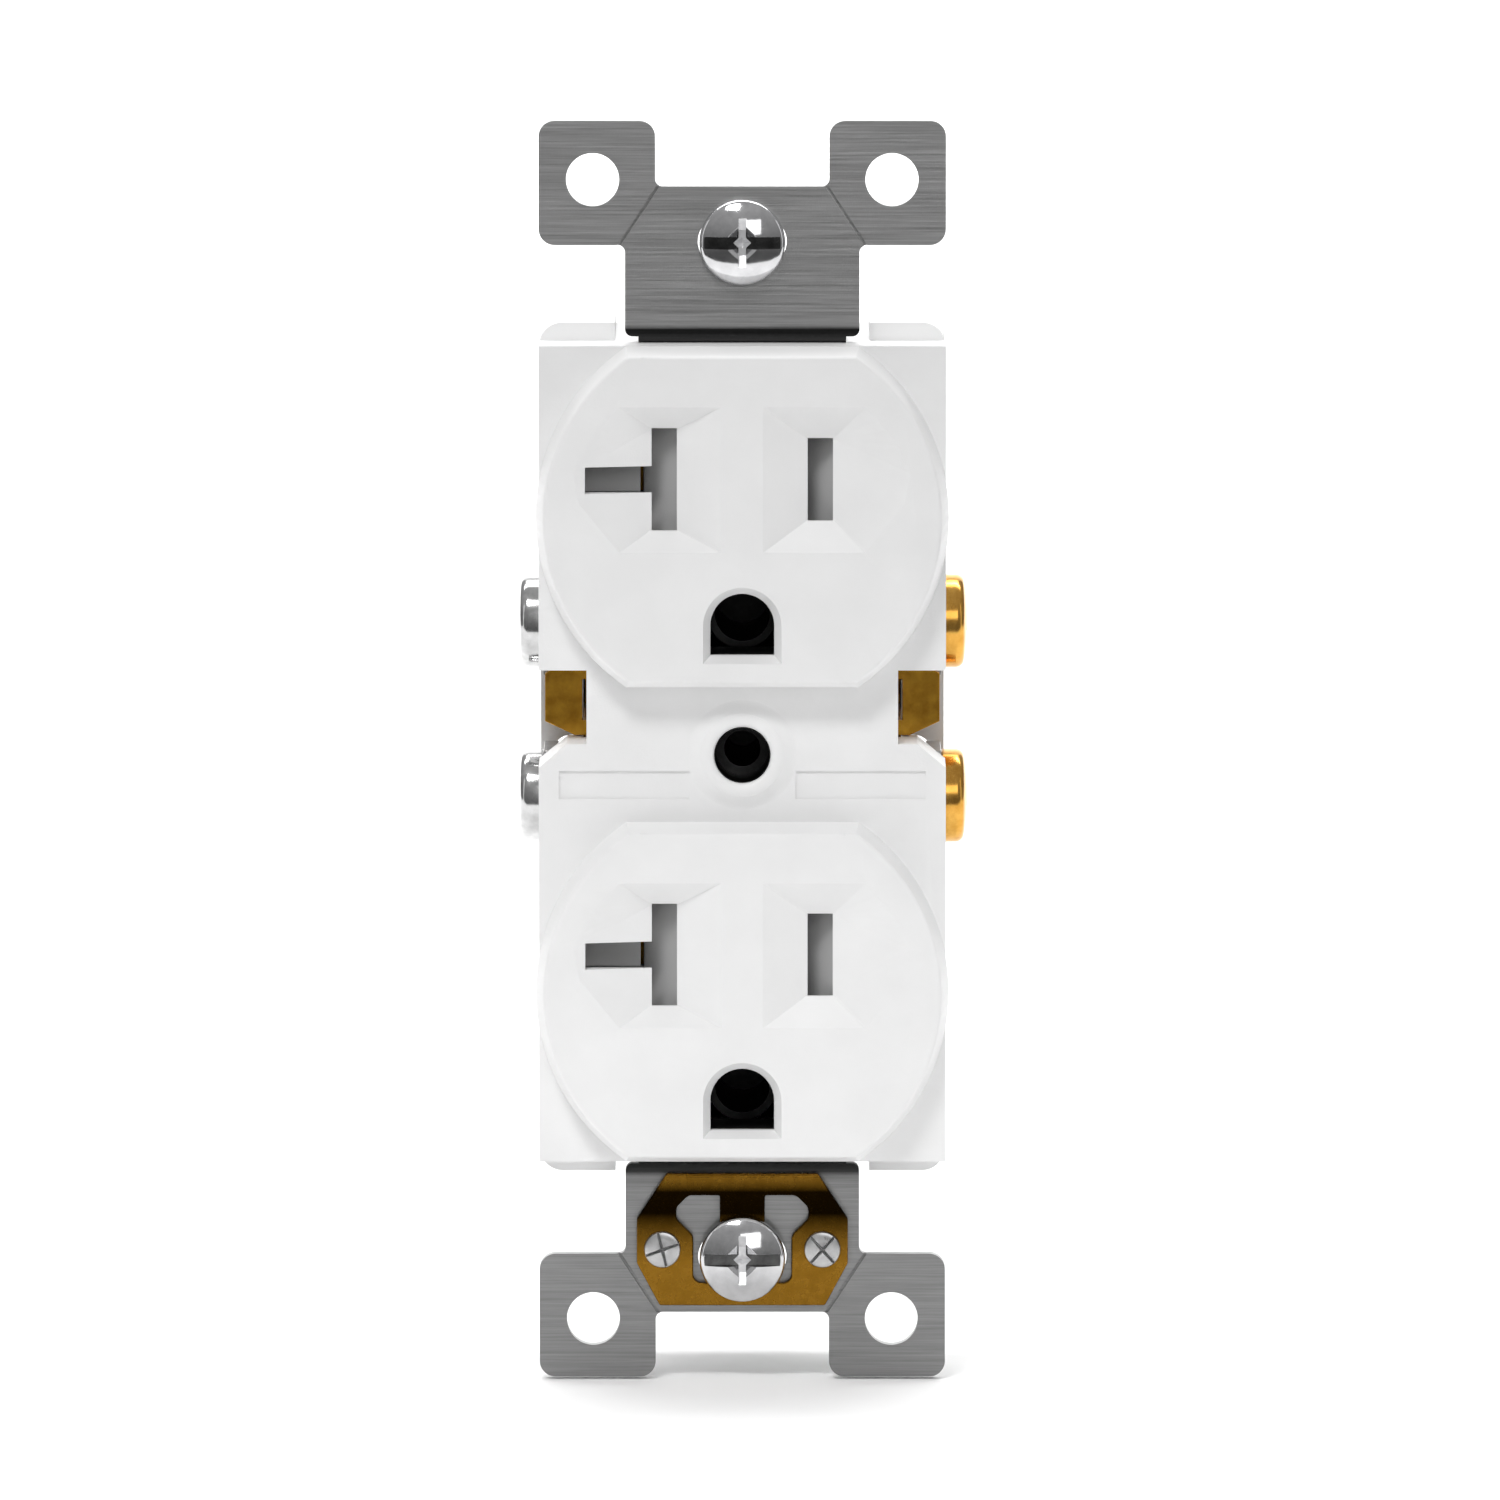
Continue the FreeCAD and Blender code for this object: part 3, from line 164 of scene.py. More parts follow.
def brushed_metal(name, dark, light, roughness, scale):
    """Rolled and brushed sheet: fine scratches along one direction, with cloudy patches."""
    recipe = Recipe(name, Metallic=1.0)
    scratches = recipe.noise(1.0, 6.0, 0.7, recipe.stretched(scale))
    recipe.link(recipe.ramp(scratches, (0.25, dark), (0.75, light)), recipe.shader.inputs["Base Color"])
    recipe.link(recipe.span(scratches, roughness - 0.1, roughness + 0.1), recipe.shader.inputs["Roughness"])
    recipe.bump(scratches, 0.00002, 0.5)
    return recipe.material


def plated_metal(name, dark, light, roughness):
    """Bright plating or turned metal with a slight haze."""
    recipe = Recipe(name, Metallic=1.0)
    haze = recipe.noise(900.0, 5.0, 0.6)
    recipe.link(recipe.ramp(haze, (0.3, dark), (0.7, light)), recipe.shader.inputs["Base Color"])
    recipe.link(recipe.span(haze, roughness - 0.04, roughness + 0.06), recipe.shader.inputs["Roughness"])
    recipe.bump(haze, 0.00001, 0.3)
    return recipe.material


# where behind the wall plane the painted shade bands fade out
SHADE_STARTS_TO_FADE = 1.0
SHADE_IS_GONE = 2.5

# a Mix node has a set of sockets for each kind of value, so its colour sockets are found by number
MIX_COLOUR_A, MIX_COLOUR_B, MIX_COLOUR_RESULT = 6, 7, 2


def paint_shade_bands(material, *stops):
    """Paint shade onto a metal's front in bands up its height, where it faces the shade of the moulding
    beside it.

    Each stop is a height in mm and the share of its own colour that the metal keeps there.
    """
    tree = material.node_tree
    shader = tree.nodes["Principled BSDF"]
    colour = shader.inputs["Base Color"].links[0].from_socket
    place = tree.nodes.new("ShaderNodeTexCoord")
    split = tree.nodes.new("ShaderNodeSeparateXYZ")
    spread = tree.nodes.new("ShaderNodeMapRange")
    spread.inputs["From Min"].default_value = stops[0][0] * MM
    spread.inputs["From Max"].default_value = stops[-1][0] * MM
    ramp = tree.nodes.new("ShaderNodeValToRGB")
    while len(ramp.color_ramp.elements) < len(stops):
        ramp.color_ramp.elements.new(0.5)
    for element, (level, shade) in zip(ramp.color_ramp.elements, stops):
        element.position = (level - stops[0][0]) / (stops[-1][0] - stops[0][0])
        element.color = (shade, shade, shade, 1.0)
    mix = tree.nodes.new("ShaderNodeMix")
    mix.data_type = "RGBA"
    mix.blend_type = "MULTIPLY"
    front = tree.nodes.new("ShaderNodeMapRange")
    front.inputs["From Min"].default_value = SHADE_STARTS_TO_FADE * MM
    front.inputs["From Max"].default_value = SHADE_IS_GONE * MM
    front.inputs["To Min"].default_value = 1.0
    front.inputs["To Max"].default_value = 0.0
    tree.links.new(place.outputs["Object"], split.inputs["Vector"])
    tree.links.new(split.outputs["Y"], front.inputs["Value"])
    tree.links.new(front.outputs["Result"], mix.inputs["Factor"])
    tree.links.new(split.outputs["Z"], spread.inputs["Value"])
    tree.links.new(spread.outputs["Result"], ramp.inputs["Fac"])
    tree.links.new(colour, mix.inputs[MIX_COLOUR_A])
    tree.links.new(ramp.outputs["Color"], mix.inputs[MIX_COLOUR_B])
    tree.links.new(mix.outputs[MIX_COLOUR_RESULT], shader.inputs["Base Color"])
    return material


# stretches a noise into fine scratches that run along X
ACROSS = (90.0, 6000.0, 6000.0)
MATERIALS = {
    "white_nylon": moulded_plastic("white_nylon", (0.82, 0.82, 0.82), (0.86, 0.86, 0.86), 0.46),
    "shutter_grey": moulded_plastic("shutter_grey", (0.44, 0.44, 0.44), (0.50, 0.50, 0.50), 0.5),
    "black_plastic": moulded_plastic("black_plastic", (0.006, 0.006, 0.006), (0.012, 0.012, 0.012), 0.4),
    "fibre": moulded_plastic("fibre", (0.12, 0.05, 0.03), (0.20, 0.09, 0.05), 0.75),
    "galvanised_steel": brushed_metal("galvanised_steel", (0.26, 0.26, 0.265), (0.46, 0.46, 0.465), 0.36,
                                      ACROSS),
    "brass": plated_metal("brass", (0.42, 0.20, 0.02), (0.62, 0.33, 0.04), 0.3),
    "brass_screw": plated_metal("brass_screw", (0.58, 0.28, 0.045), (0.76, 0.42, 0.09), 0.17),
    "nickel": plated_metal("nickel", (0.46, 0.46, 0.46), (0.66, 0.66, 0.66), 0.12),
    "bright_zinc": plated_metal("bright_zinc", (0.56, 0.56, 0.57), (0.70, 0.70, 0.71), 0.08),
    "zinc_steel": plated_metal("zinc_steel", (0.42, 0.42, 0.42), (0.60, 0.60, 0.60), 0.28),
    "green_steel": plated_metal("green_steel", (0.01, 0.16, 0.06), (0.02, 0.26, 0.10), 0.3),
    # near-black steel for the wall plate's screw post and the ground sleeves: painted shade, which keeps
    # their deep bores dark
    "dark_steel": plated_metal("dark_steel", (0.03, 0.03, 0.03), (0.06, 0.06, 0.06), 0.35),
    "spring_steel": plated_metal("spring_steel", (0.35, 0.35, 0.36), (0.50, 0.50, 0.52), 0.25),
}
# a darker copy of the plated metal: painted shade in the screws' drive slots
SLOT_SHADE = plated_metal("recess_shade", (0.05, 0.05, 0.05), (0.13, 0.13, 0.13), 0.22)
# a lighter copy of the plated metal: a painted highlight on the drive's point; its higher roughness gives
# it a satin look
POINT_HIGHLIGHT = plated_metal("point_satin_highlight", (0.72, 0.72, 0.73), (0.9, 0.9, 0.91), 0.42)
# painted shade: the strap nearly black at its bends beside the cover and darker on its lower end, the clip
# nearly black in a band near its top, a painted dark reflection of the shade under the cover
PAINTED_SHADE_BANDS = {
    "mounting_strap": paint_shade_bands(
        brushed_metal("strap_painted_shade", (0.38, 0.38, 0.38), (0.66, 0.66, 0.66), 0.36, ACROSS),
        (-52.0, 0.5), (-36.0, 0.55), (-34.8, 0.4), (-34.6, 0.05), (-33.4, 0.1),
        (33.4, 0.16), (34.25, 0.03), (34.6, 0.05), (34.8, 0.85), (35.2, 1.0)),
    "self_grounding_clip": paint_shade_bands(
        plated_metal("clip_painted_shade", (0.23, 0.11, 0.010), (0.31, 0.155, 0.018), 0.26),
        (-45.6, 0.9), (-42.0, 1.0), (-40.2, 0.6), (-38.0, 0.02), (-36.2, 0.03), (-35.3, 0.7), (-34.7, 1.0)),
}


# ------------------------------------------------------------------ pieces

def join_body(piece, node):
    """Put a new piece in a CAD node's place: same body, same material slot."""
    slot = SLOT_OF[node]
    piece.data.materials.clear()
    piece.data.materials.append(PAINTED_SHADE_BANDS.get(node, MATERIALS[slot]))
    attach(piece, BODY_OF[node])
    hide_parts(node)
    return piece


def new_piece(name, work, sharp=32):
    """Turn finished mesh work into an object with smooth faces and sharp edges where the surface turns."""
    bmesh.ops.recalc_face_normals(work, faces=work.faces)
    for face in work.faces:
        face.smooth = True
    mesh = bpy.data.meshes.new(name)
    work.to_mesh(mesh)
    work.free()
    mesh.set_sharp_from_angle(angle=math.radians(sharp))
    piece = bpy.data.objects.new(name, mesh)
    bpy.context.scene.collection.objects.link(piece)
    return piece


def soften(piece, width, segments=2, angle=28):
    """Round off the edges where the surface turns more than an angle."""
    bevel = piece.modifiers.new("edges", "BEVEL")
    bevel.width = width
    bevel.segments = segments
    bevel.limit_method = "ANGLE"
    bevel.angle_limit = math.radians(angle)
    bevel.harden_normals = True


def crisp(node, edge, segments=2, angle=28):
    """The CAD node's shape with its flat faces merged and its sharp edges rounded off."""
    work = bmesh.new()
    work.from_mesh(frame["nodes"][node].data)
    work.transform(frame["nodes"][node].matrix_world)
    bmesh.ops.remove_doubles(work, verts=work.verts, dist=0.002 * MM)
    bmesh.ops.dissolve_limit(work, angle_limit=math.radians(0.3), verts=work.verts, edges=work.edges)
    piece = new_piece(node + "_finished", work, angle)
    if edge:
        soften(piece, edge, segments, angle)
    return join_body(piece, node)


def turned(work, profile, steps=72):
    """Spin a profile of (radius, height) pairs about Z. The first and last points may lie on the axis."""
    rings = []
    for radius, height in profile:
        if radius == 0.0:
            rings.append([work.verts.new((0.0, 0.0, height))])
            continue
        turns = [2.0 * math.pi * i / steps for i in range(steps)]
        rings.append([work.verts.new((radius * math.cos(a), radius * math.sin(a), height)) for a in turns])
    for low, high in zip(rings, rings[1:]):
        for i in range(steps):
            corners = [low[i % len(low)], low[(i + 1) % len(low)],
                       high[(i + 1) % len(high)], high[i % len(high)]]
            corners = list(dict.fromkeys(corners))
            if len(corners) > 2:
                work.faces.new(corners)


def round_corner(radius, height, size, first, last, steps=6):
    """Points of a rounded corner whose centre is at (radius, height), between two angles in degrees."""
    turns = [math.radians(first + (last - first) * i / steps) for i in range(steps + 1)]
    return [(radius + size * math.cos(a), height + size * math.sin(a)) for a in turns]


def add_thread(work, top, bottom, radius, pitch):
    """A threaded rod along Z: a helical ridge that starts and ends at the core."""
    around, per_turn = 28, 7
    depth = 0.55 * pitch
    rows = int((top - bottom) / pitch * per_turn)
    rings = []
    for row in range(rows + 1):
        height = top + (bottom - top) * row / rows
        grown = min(1.0, (top - height) / pitch, (height - bottom) / pitch)
        ring = []
        for i in range(around):
            ridge = abs(((height / pitch - i / around) % 1.0) * 2.0 - 1.0)
            reach = radius - depth + depth * ridge * max(grown, 0.0)
            turn = 2.0 * math.pi * i / around
            ring.append(work.verts.new((reach * math.cos(turn), reach * math.sin(turn), height)))
        rings.append(ring)
    for high, low in zip(rings, rings[1:]):
        for i in range(around):
            work.faces.new((high[i], low[i], low[(i + 1) % around], high[(i + 1) % around]))
    work.faces.new(rings[0])
    work.faces.new(rings[-1])


def add_hull(work, points):
    """A closed convex solid through a few points."""
    corners = [work.verts.new(point) for point in points]
    bmesh.ops.convex_hull(work, input=corners)


def cut_away(piece, cutter):
    """Take one solid out of another for good."""
    cut = piece.modifiers.new("cut", "BOOLEAN")
    cut.operation = "DIFFERENCE"
    cut.solver = "EXACT"
    cut.object = cutter
    shape = bpy.data.meshes.new_from_object(piece.evaluated_get(bpy.context.evaluated_depsgraph_get()))
    piece.modifiers.clear()
    piece.data = shape
    bpy.data.objects.remove(cutter)


def slot_corners(size, top, depth, reach):
    """Corners of the straight slot across a head."""
    half = 0.14 * size
    return [(x, z * (half + rise), top + lift)
            for x in (-reach, reach) for z in (-1, 1)
            for lift, rise in ((-0.62 * depth, 0.0), (0.6 * depth, 0.1 * half))]


def point_corners(size, top, depth):
    """Corners of the four-sided point in the middle of the drive."""
    wide = 0.54 * size
    return [(wide, 0, top), (-wide, 0, top), (0, wide, top), (0, -wide, top),
            (1.3 * wide, 0, top + depth), (-1.3 * wide, 0, top + depth),
            (0, 1.3 * wide, top + depth), (0, -1.3 * wide, top + depth),
            (0, 0, top - depth)]


def wing_corners(size, top, depth):
    """Corners of the upright arm of the cross."""
    wing = 0.085 * size
    ends = ((-0.72 * size, 0.0), (0.72 * size, 0.0), (-0.3 * size, 0.75), (0.3 * size, 0.75))
    sunk = [(x, z, top - depth * sink) for x in (-wing, wing) for z, sink in ends]
    return sunk + [(x, z, top + depth) for x in (-wing, wing) for z in (-0.9 * size, 0.9 * size)]


def cut_drive(piece, size, top, depth, reach):
    """Cut a combined straight and cross drive into a head that faces +Z."""
    slot = slot_corners(size, top, depth, reach)
    for corners in (slot, point_corners(size, top, depth), wing_corners(size, top, depth)):
        work = bmesh.new()
        add_hull(work, corners)
        cut_away(piece, new_piece("cutter", work))


def set_pose(piece, centre, outward, up=(0.0, 0.0, 1.0)):
    """Move a piece built along +Z so that +Z points outward and +Y points up."""
    axis = Vector(outward).normalized()
    rise = Vector(up)
    side = rise.cross(axis).normalized()
    turn = Matrix((side, axis.cross(side), axis)).transposed()
    piece.data.transform(Matrix.Translation(Vector(centre)) @ turn.to_4x4())


def recess_faces(piece, profile):
    """Face numbers of a head that lie below its own outline: those of the slot, and those of the point."""
    crown = sorted(profile[3:])
    radius = crown[-1][0]
    rim, foot, least_depth = 0.93 * radius, 0.1 * MM, 0.04 * MM
    slot_half, point_reach, slot_start = 0.16 * radius, 0.7 * radius, 0.45 * radius
    slot, point = [], []
    for face in piece.data.polygons:
        across, along = abs(face.center.x), abs(face.center.y)
        reach = math.hypot(across, along)
        if reach > rim or face.center.z < foot:
            continue
        outer = next(corner for corner in crown if corner[0] >= reach)
        if face.center.z > outer[1] - least_depth:
            continue
        if along < slot_half and across > slot_start:
            slot.append(face.index)
        elif across + along < point_reach:
            point.append(face.index)
    return slot, point


def paint_recess(piece, slot, point):
    """Paint shade into the slot with a dark copy of the metal, and a painted highlight on the point with a
    lighter, satin copy.
    """
    piece.data.materials.append(SLOT_SHADE)
    piece.data.materials.append(POINT_HIGHLIGHT)
    for number, indices in ((1, slot), (2, point)):
        for index in indices:
            piece.data.polygons[index].material_index = number


def refresh_sharp(piece, angle):
    """Smooth every face again after a cut, and keep the edges sharp where the surface turns."""
    for face in piece.data.polygons:
        face.use_smooth = True
    piece.data.set_sharp_from_angle(angle=math.radians(angle))


def head_profile(radius, height, edge, crown):
    """A screw head from its underside up: straight wall, rounded edge and a gentle crown."""
    points = [(0.0, 0.0), (radius - 0.12 * MM, 0.0), (radius, 0.12 * MM)]
    points += round_corner(radius - edge, height - crown - edge, edge, 0.0, 62.0)
    last_radius, last_height = points[-1]
    for step in range(1, 7):
        share = 1.0 - step / 6
        points.append((last_radius * share, height - (height - last_height) * share * share))
    return points


# head: radius, height, rounded edge and crown
# drive: its size and its slot's reach as shares of the head's radius, with its depth between them
# neck: radius and end, below the seat
# thread: top and bottom, below the seat, and radius
BOX_SCREW = {
    "head": (3.5, 1.9, 0.55, 0.75), "drive": (1.0, 1.25, 1.2),
    "neck": (1.42, -2.6), "thread": (-2.4, -22.9, 1.74),
}
TERMINAL_SCREW = {
    "head": (3.84, 2.2, 0.75, 0.3), "drive": (0.85, 0.9, 0.72),
    "neck": (1.75, -0.9), "thread": (-0.7, -7.9, 2.07),
}


def make_head(node, kind):
    """A screw head facing +Z. Returns the piece, and the face numbers of its slot and its point."""
    radius, height, edge, crown = [value * MM for value in kind["head"]]
    share, depth, reach = kind["drive"]
    profile = head_profile(radius, height, edge, crown)
    work = bmesh.new()
    turned(work, profile, 96)
    head = new_piece(node + "_head", work, 40)
    cut_drive(head, share * radius, height, depth * MM, reach * radius)
    refresh_sharp(head, 30)
    soften(head, 0.06 * MM, 2, 30)
    return head, *recess_faces(head, profile)


def make_shank(node, kind):
    """The neck and the thread under a head that faces +Z. The neck starts inside the head."""
    inside = 0.3 * MM
    neck_radius, neck_end = [value * MM for value in kind["neck"]]
    top, bottom, radius = [value * MM for value in kind["thread"]]
    work = bmesh.new()
    turned(work, [(0.0, inside), (neck_radius, inside), (neck_radius, neck_end), (0.0, neck_end)], 32)
    add_thread(work, top, bottom, radius, THREAD_PITCH * MM)
    return new_piece(node + "_thread", work, 50)


def make_screw(node, kind, seat, outward, up=(0.0, 0.0, 1.0)):
    """A screw whose head rests on its seat and looks outward, with the drive's upright arm along up."""
    head, slot, point = make_head(node, kind)
    set_pose(head, seat, outward, up)
    join_body(head, node)
    paint_recess(head, slot, point)
    shank = make_shank(node, kind)
    set_pose(shank, seat, outward)
    join_body(shank, node)


def make_clip_rivet(side):
    """A flat rivet head, staked with two crossed chisel marks."""
    profile = [(0.0, 0.0), (1.5, 0.0), (1.5, 0.2), (1.42, 0.36),
               (1.2, 0.44), (0.8, 0.42), (0.4, 0.46), (0.0, 0.5)]
    top, lift, floor = 0.5 * MM, 0.02 * MM, 0.18 * MM
    reach, half = 1.7 * MM, 0.17 * MM
    work = bmesh.new()
    turned(work, [(radius * MM, height * MM) for radius, height in profile], 64)
    rivet = new_piece("clip_rivet", work, 40)
    for turn in (34.0, 118.0):
        work = bmesh.new()
        add_hull(work, [(x, z, top + lift) for x in (-reach, reach) for z in (-half, half)]
                 + [(-0.8 * reach, 0.0, floor), (0.8 * reach, 0.0, floor)])
        work.transform(Matrix.Rotation(math.radians(turn + 14 * side), 4, "Z"))
        cut_away(rivet, new_piece("cutter", work))
    refresh_sharp(rivet, 25)
    set_pose(rivet, (side * 6.55 * MM, -2.1 * MM, -40.95 * MM), (0.0, -1.0, 0.0))
    join_body(rivet, "clip_rivets")


def make_boss_fillet():
    """The smooth mound that the cover swells into round the wall plate's screw hole."""
    shoulder, proud = -4.6 * MM, 0.62 * MM
    inner, crest, outer = 2.3 * MM, 2.85 * MM, 4.6 * MM
    lip_width, lip_height = 0.55 * MM, 0.38 * MM
    root, outer_wall, last_drop = -1.2 * MM, -0.3 * MM, 0.01 * MM
    work = bmesh.new()
    points = [(inner, root), (inner, proud - lip_height)]
    points += [(crest - lip_width * math.cos(a), proud - lip_height + lip_height * math.sin(a))
               for a in [math.radians(15 * i) for i in range(1, 7)]]
    for step in range(1, 13):
        share = step / 12
        drop = 0.5 + 0.5 * math.cos(math.pi * share)
        points.append((crest + (outer - crest) * share, proud * drop - last_drop * share))
    points += [(outer, outer_wall), (outer, root), (inner, root)]
    turned(work, points, 96)
    bmesh.ops.remove_doubles(work, verts=work.verts, dist=TINY * MM)
    boss = new_piece("boss_fillet", work, 40)
    set_pose(boss, (0.0, shoulder, 0.0), (0.0, -1.0, 0.0))
    join_body(boss, "face_cover")


def make_post_shade_lining():
    """A dark steel tube inside the hole that the wall plate's screw enters: painted shade, which keeps the
    hole dark.
    """
    bore, middle, wall = 2.18 * MM, 2.22 * MM, 2.29 * MM
    root, corner, lip = -5.0 * MM, 0.1 * MM, 0.2 * MM
    work = bmesh.new()
    profile = [(bore, root), (wall, root), (wall, corner), (middle, lip), (bore, corner), (bore, root)]
    turned(work, profile, 72)
    bmesh.ops.remove_doubles(work, verts=work.verts, dist=TINY * MM)
    shade_lining = new_piece("post_shade_lining", work, 40)
    set_pose(shade_lining, (0.0, -4.6 * MM, 0.0), (0.0, -1.0, 0.0))
    join_body(shade_lining, "plate_screw_post")


def funnel_outline():
    """Outline of the funnel right of a face's middle, in mm from the face's centre, as (x, z) pairs."""
    inner_x, bottom = 1.7, -2.65
    shoulder_x, top = 10.0, 9.2
    low, high = (13.25, 1.3), (13.7, 3.8)
    curve = 14.4
    middle = Vector(((high[0] + shoulder_x) / 2, (high[1] + top) / 2))
    span = Vector((shoulder_x - high[0], top - high[1]))
    inward = Vector((-span.y, span.x)).normalized()
    centre = middle + inward * math.sqrt(curve ** 2 - (span.length / 2) ** 2)
    first = math.atan2(high[1] - centre.y, high[0] - centre.x)
    last = math.atan2(top - centre.y, shoulder_x - centre.x)
    turns = [first + (last - first) * i / 5 for i in range(6)]
    arc = [(centre.x + curve * math.cos(a), centre.y + curve * math.sin(a)) for a in turns]
    return [(inner_x, bottom), (shoulder_x, bottom), low] + arc + [(inner_x, top)]


def cut_funnels(cover):
    """Cut the steep four-sided funnels that lead a plug's blades into their slots."""
    proud, tighter = 0.3, 0.98
    for centre in (FACE_Z, -FACE_Z):
        for side, half_height in ((-1, 0.5 * BAR_HEIGHT), (1, 0.5 * LINE_SLOT_HEIGHT)):
            points = []
            for level in (FACE_FRONT - proud, FACE_FRONT):
                points += [(side * x * MM, level * MM, (centre + z) * MM) for x, z in funnel_outline()]
            for x in (BLADE_X - 0.5 * BAR_WIDTH, BLADE_X + 0.5 * BAR_WIDTH):
                for z in (BLADE_Z - tighter * half_height, BLADE_Z + tighter * half_height):
                    points.append((side * x * MM, FUNNEL_FLOOR * MM, (centre + z) * MM))
            work = bmesh.new()
            add_hull(work, points)
            cut_away(cover, new_piece("cutter", work))


# how far each node's edges are rounded off
EDGES = {
    "face_cover": 0.22, "back_body": 0.2,
    "mounting_strap": 0.13, "self_grounding_clip": 0.13,
    "neutral_bus": 0.12, "hot_bus": 0.12,
    "upper_shutter": 0.12, "lower_shutter": 0.12,
    "upper_shutter_carrier": 0.1, "lower_shutter_carrier": 0.1,
    "upper_arm_flap": 0.06, "lower_arm_flap": 0.06,
    "upper_ground_liner": 0.08, "lower_ground_liner": 0.08,
    "upper_screw_retainer": 0.08, "lower_screw_retainer": 0.08,
    "ground_clamp": 0.1, "ground_screw": 0.12,
    "neutral_clamp_upper": 0.15, "neutral_clamp_lower": 0.15,
    "hot_clamp_upper": 0.15, "hot_clamp_lower": 0.15,
    "neutral_contact_upper": 0.08, "neutral_contact_lower": 0.08,
    "hot_contact_upper": 0.08, "hot_contact_lower": 0.08,
    "ground_contact_strip": 0.1, "ground_sleeve_upper": 0.08, "ground_sleeve_lower": 0.08,
    "plate_screw_post": 0.1, "assembly_screws": 0.12, "contact_rivets": 0.1,
}


def make_face_cover():
    """The moulded front with its funnels cut steeper and its edges softened."""
    cover = crisp("face_cover", 0.0)
    cut_funnels(cover)
    refresh_sharp(cover, 20)
    soften(cover, EDGES["face_cover"] * MM, 2, 28)


for node, edge in EDGES.items():
    if node != "face_cover":
        crisp(node, edge * MM)
make_face_cover()
make_boss_fillet()
make_post_shade_lining()
# the lower head sits further out, because the clip lies under it
make_screw("upper_mounting_screw", BOX_SCREW, (0.0, -1.35 * MM, BOX_SCREW_Z * MM), (0.0, -1.0, 0.0))
make_screw("lower_mounting_screw", BOX_SCREW, (0.0, -2.15 * MM, -BOX_SCREW_Z * MM), (0.0, -1.0, 0.0))
for row, z in (("upper", TERMINAL_TOP_Z), ("lower", TERMINAL_BOTTOM_Z)):
    for wire, side in (("neutral", -1), ("hot", 1)):
        seat = (side * TERMINAL_X * MM, TERMINAL_Y * MM, z * MM)
        make_screw(f"{wire}_screw_{row}", TERMINAL_SCREW, seat, (side, 0.0, 0.0), (0.0, 0.94, 0.34 * side))
for side in (-1, 1):
    make_clip_rivet(side)
# the springs keep their own coils, which are squeezed with the shutters
for row in ("upper", "lower"):
    spring = frame["nodes"][row + "_shutter_spring"]
    spring.data.materials.clear()
    spring.data.materials.append(MATERIALS["spring_steel"])


# ------------------------------------------------------------------ studio

def make_stage():
    """A pale floor that curves up into a back wall."""
    low = cad_box[0]
    mesh = bpy.data.meshes.new("floor")
    work = bmesh.new()
    reach, front, back, turn, rise, gap = 0.5, -0.14, 0.4, 0.5, 1.6, 0.0002
    profile = [(front, 0.0), (back, 0.0)]
    profile += [(back + turn * math.sin(a), turn - turn * math.cos(a))
                for a in [math.radians(90 * i / 12) for i in range(1, 13)]]
    profile.append((back + turn, rise))
    rows = []
    for x in (-reach, reach):
        rows.append([work.verts.new((x, y, low.z + z - gap)) for y, z in profile])
    for i in range(len(profile) - 1):
        face = work.faces.new((rows[0][i], rows[1][i], rows[1][i + 1], rows[0][i + 1]))
        face.smooth = True
    work.to_mesh(mesh)
    work.free()
    floor = bpy.data.objects.new("floor", mesh)
    bpy.context.scene.collection.objects.link(floor)
    recipe = Recipe("floor", Roughness=0.9)
    mottle = recipe.noise(3.0, 2.0)
    recipe.link(recipe.ramp(mottle, (0.4, (0.93, 0.93, 0.93)), (0.6, (0.95, 0.95, 0.95))),
                recipe.shader.inputs["Base Color"])
    mesh.materials.append(recipe.material)


def soft_box(name, place, size, power, target=(0.0, 0.0, 0.0)):
    """A rectangular lamp that looks at a target."""
    lamp = bpy.data.lights.new(name, "AREA")
    lamp.shape = "RECTANGLE"
    lamp.size, lamp.size_y = size
    lamp.energy = power
    box = bpy.data.objects.new(name, lamp)
    box.location = place
    box.rotation_euler = (Vector(target) - Vector(place)).to_track_quat("-Z", "Y").to_euler()
    bpy.context.scene.collection.objects.link(box)


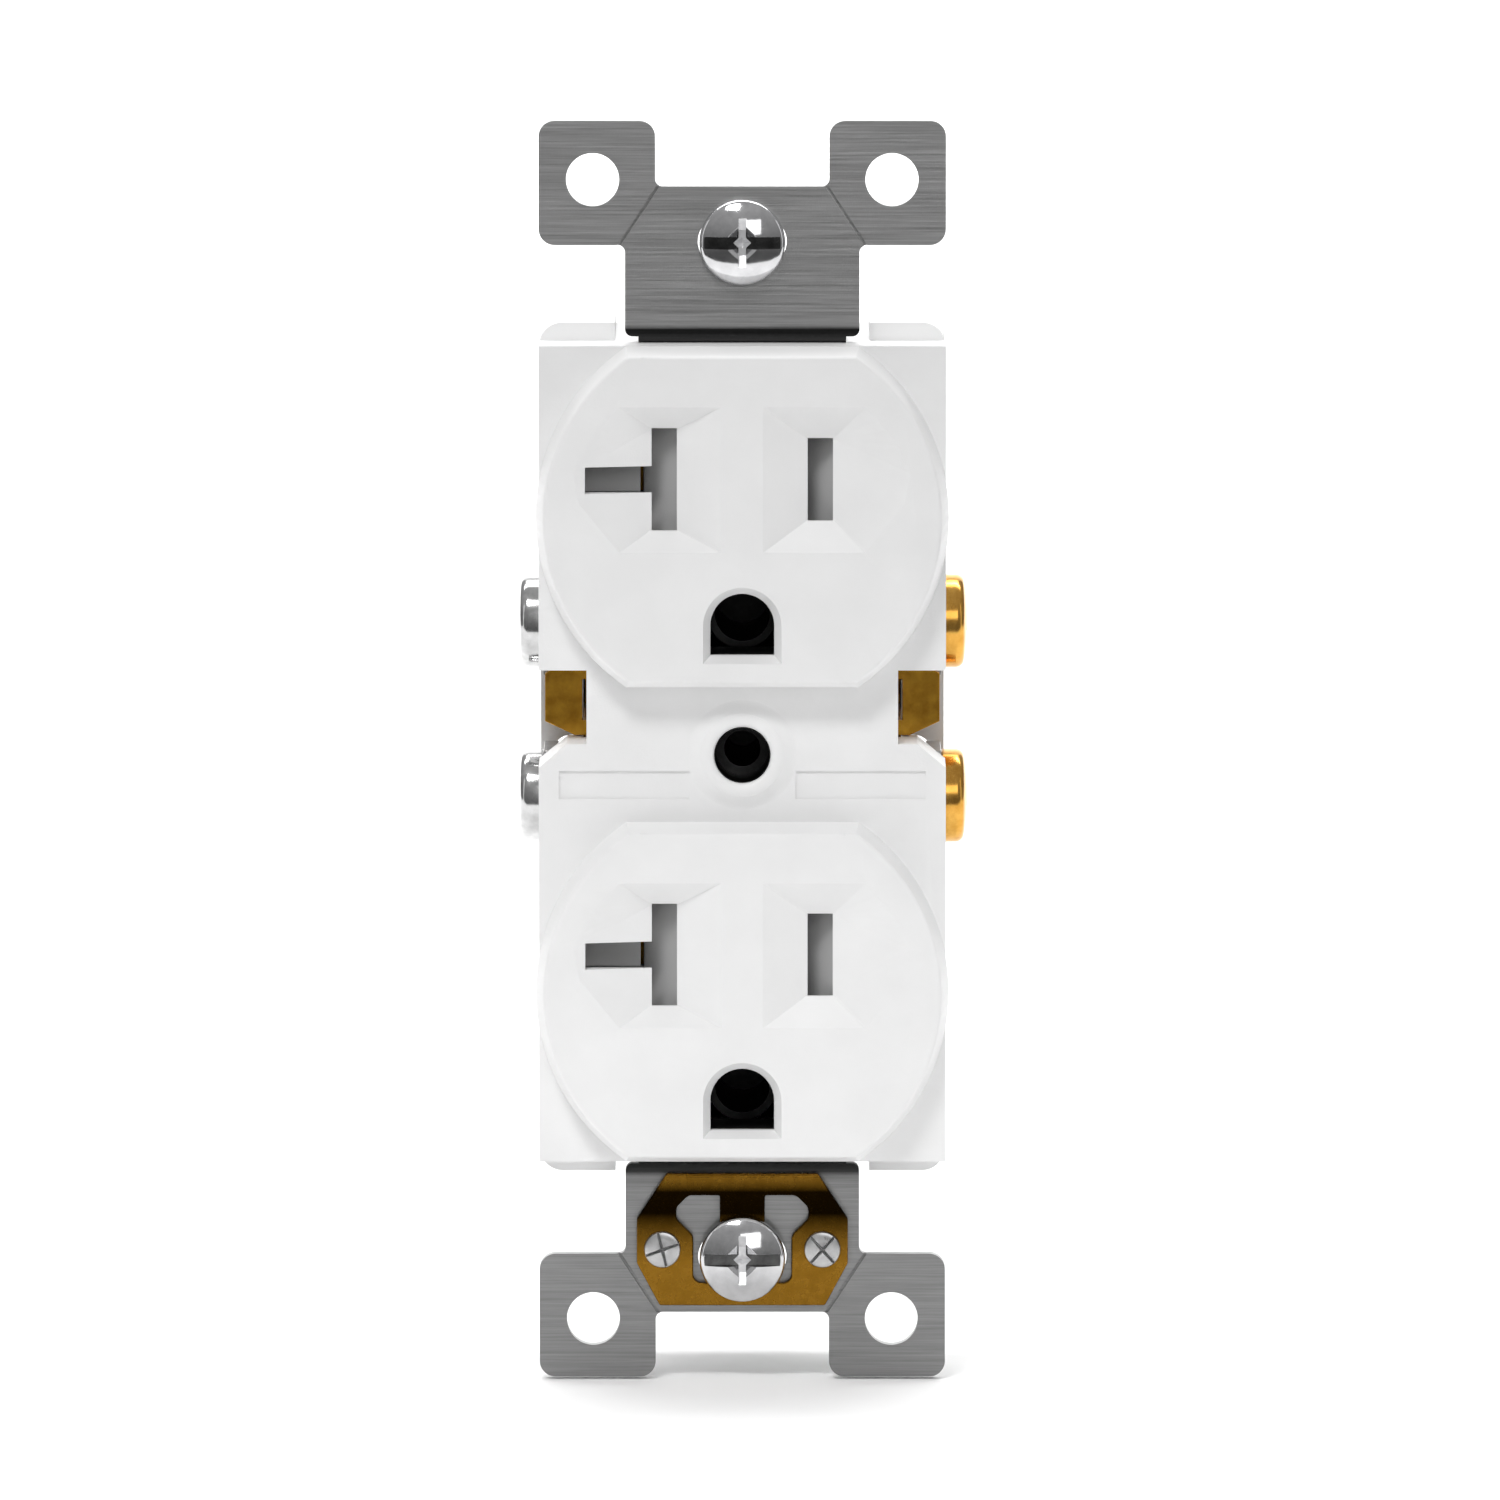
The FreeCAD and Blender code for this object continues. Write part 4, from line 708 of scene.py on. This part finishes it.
def make_world():
    """Soft surroundings that are lighter overhead than below."""
    world = bpy.data.worlds.new("studio")
    world.use_nodes = True
    tree = world.node_tree
    place = tree.nodes.new("ShaderNodeTexCoord")
    split = tree.nodes.new("ShaderNodeSeparateXYZ")
    spread = tree.nodes.new("ShaderNodeMapRange")
    spread.inputs["From Min"].default_value = -0.3
    spread.inputs["From Max"].default_value = 0.7
    ramp = tree.nodes.new("ShaderNodeValToRGB")
    ramp.color_ramp.elements[0].color = (0.10, 0.10, 0.10, 1.0)
    ramp.color_ramp.elements[1].color = (0.45, 0.45, 0.45, 1.0)
    tree.links.new(place.outputs["Generated"], split.inputs["Vector"])
    tree.links.new(split.outputs["Z"], spread.inputs["Value"])
    tree.links.new(spread.outputs["Result"], ramp.inputs["Fac"])
    tree.links.new(ramp.outputs["Color"], tree.nodes["Background"].inputs["Color"])
    bpy.context.scene.world = world


def make_lights():
    """A high key from the left, weak fill all round, and a strip that whitens the back wall."""
    soft_box("key", (-0.25, -0.75, 0.95), (0.34, 0.24), 6.2)
    soft_box("front", (0.3, -1.3, 0.5), (0.7, 0.5), 2.0)
    soft_box("top", (0.0, 0.4, 0.9), (0.8, 0.5), 4.0, (0.0, 0.35, 0.0))
    soft_box("right", (0.9, -0.3, 0.2), (0.2, 0.7), 0.35)
    soft_box("left", (-0.9, -0.3, 0.2), (0.2, 0.7), 0.35)
    soft_box("backdrop", (0.0, 0.3, 0.75), (1.2, 0.2), 8.0, (0.0, 0.85, 0.15))


def make_camera():
    """A long lens, square on and raised by a few degrees. Its field is the width seen at the aim."""
    rise = math.radians(5.7)
    field, distance, film = 0.12255, 1.6, 36.0
    aim = Vector((0.00063, -0.0013, 0.00006))
    camera = bpy.data.cameras.new("camera")
    camera.sensor_width = film
    camera.lens = film * distance / field
    camera.clip_end = 10.0
    holder = bpy.data.objects.new("camera", camera)
    holder.location = aim + Vector((0.0, -math.cos(rise), math.sin(rise))) * distance
    holder.rotation_euler = (math.pi / 2 - rise, 0.0, 0.0)
    bpy.context.scene.collection.objects.link(holder)
    bpy.context.scene.camera = holder


make_stage()
make_world()
make_lights()
make_camera()
bpy.context.scene.view_settings.view_transform = "Standard"
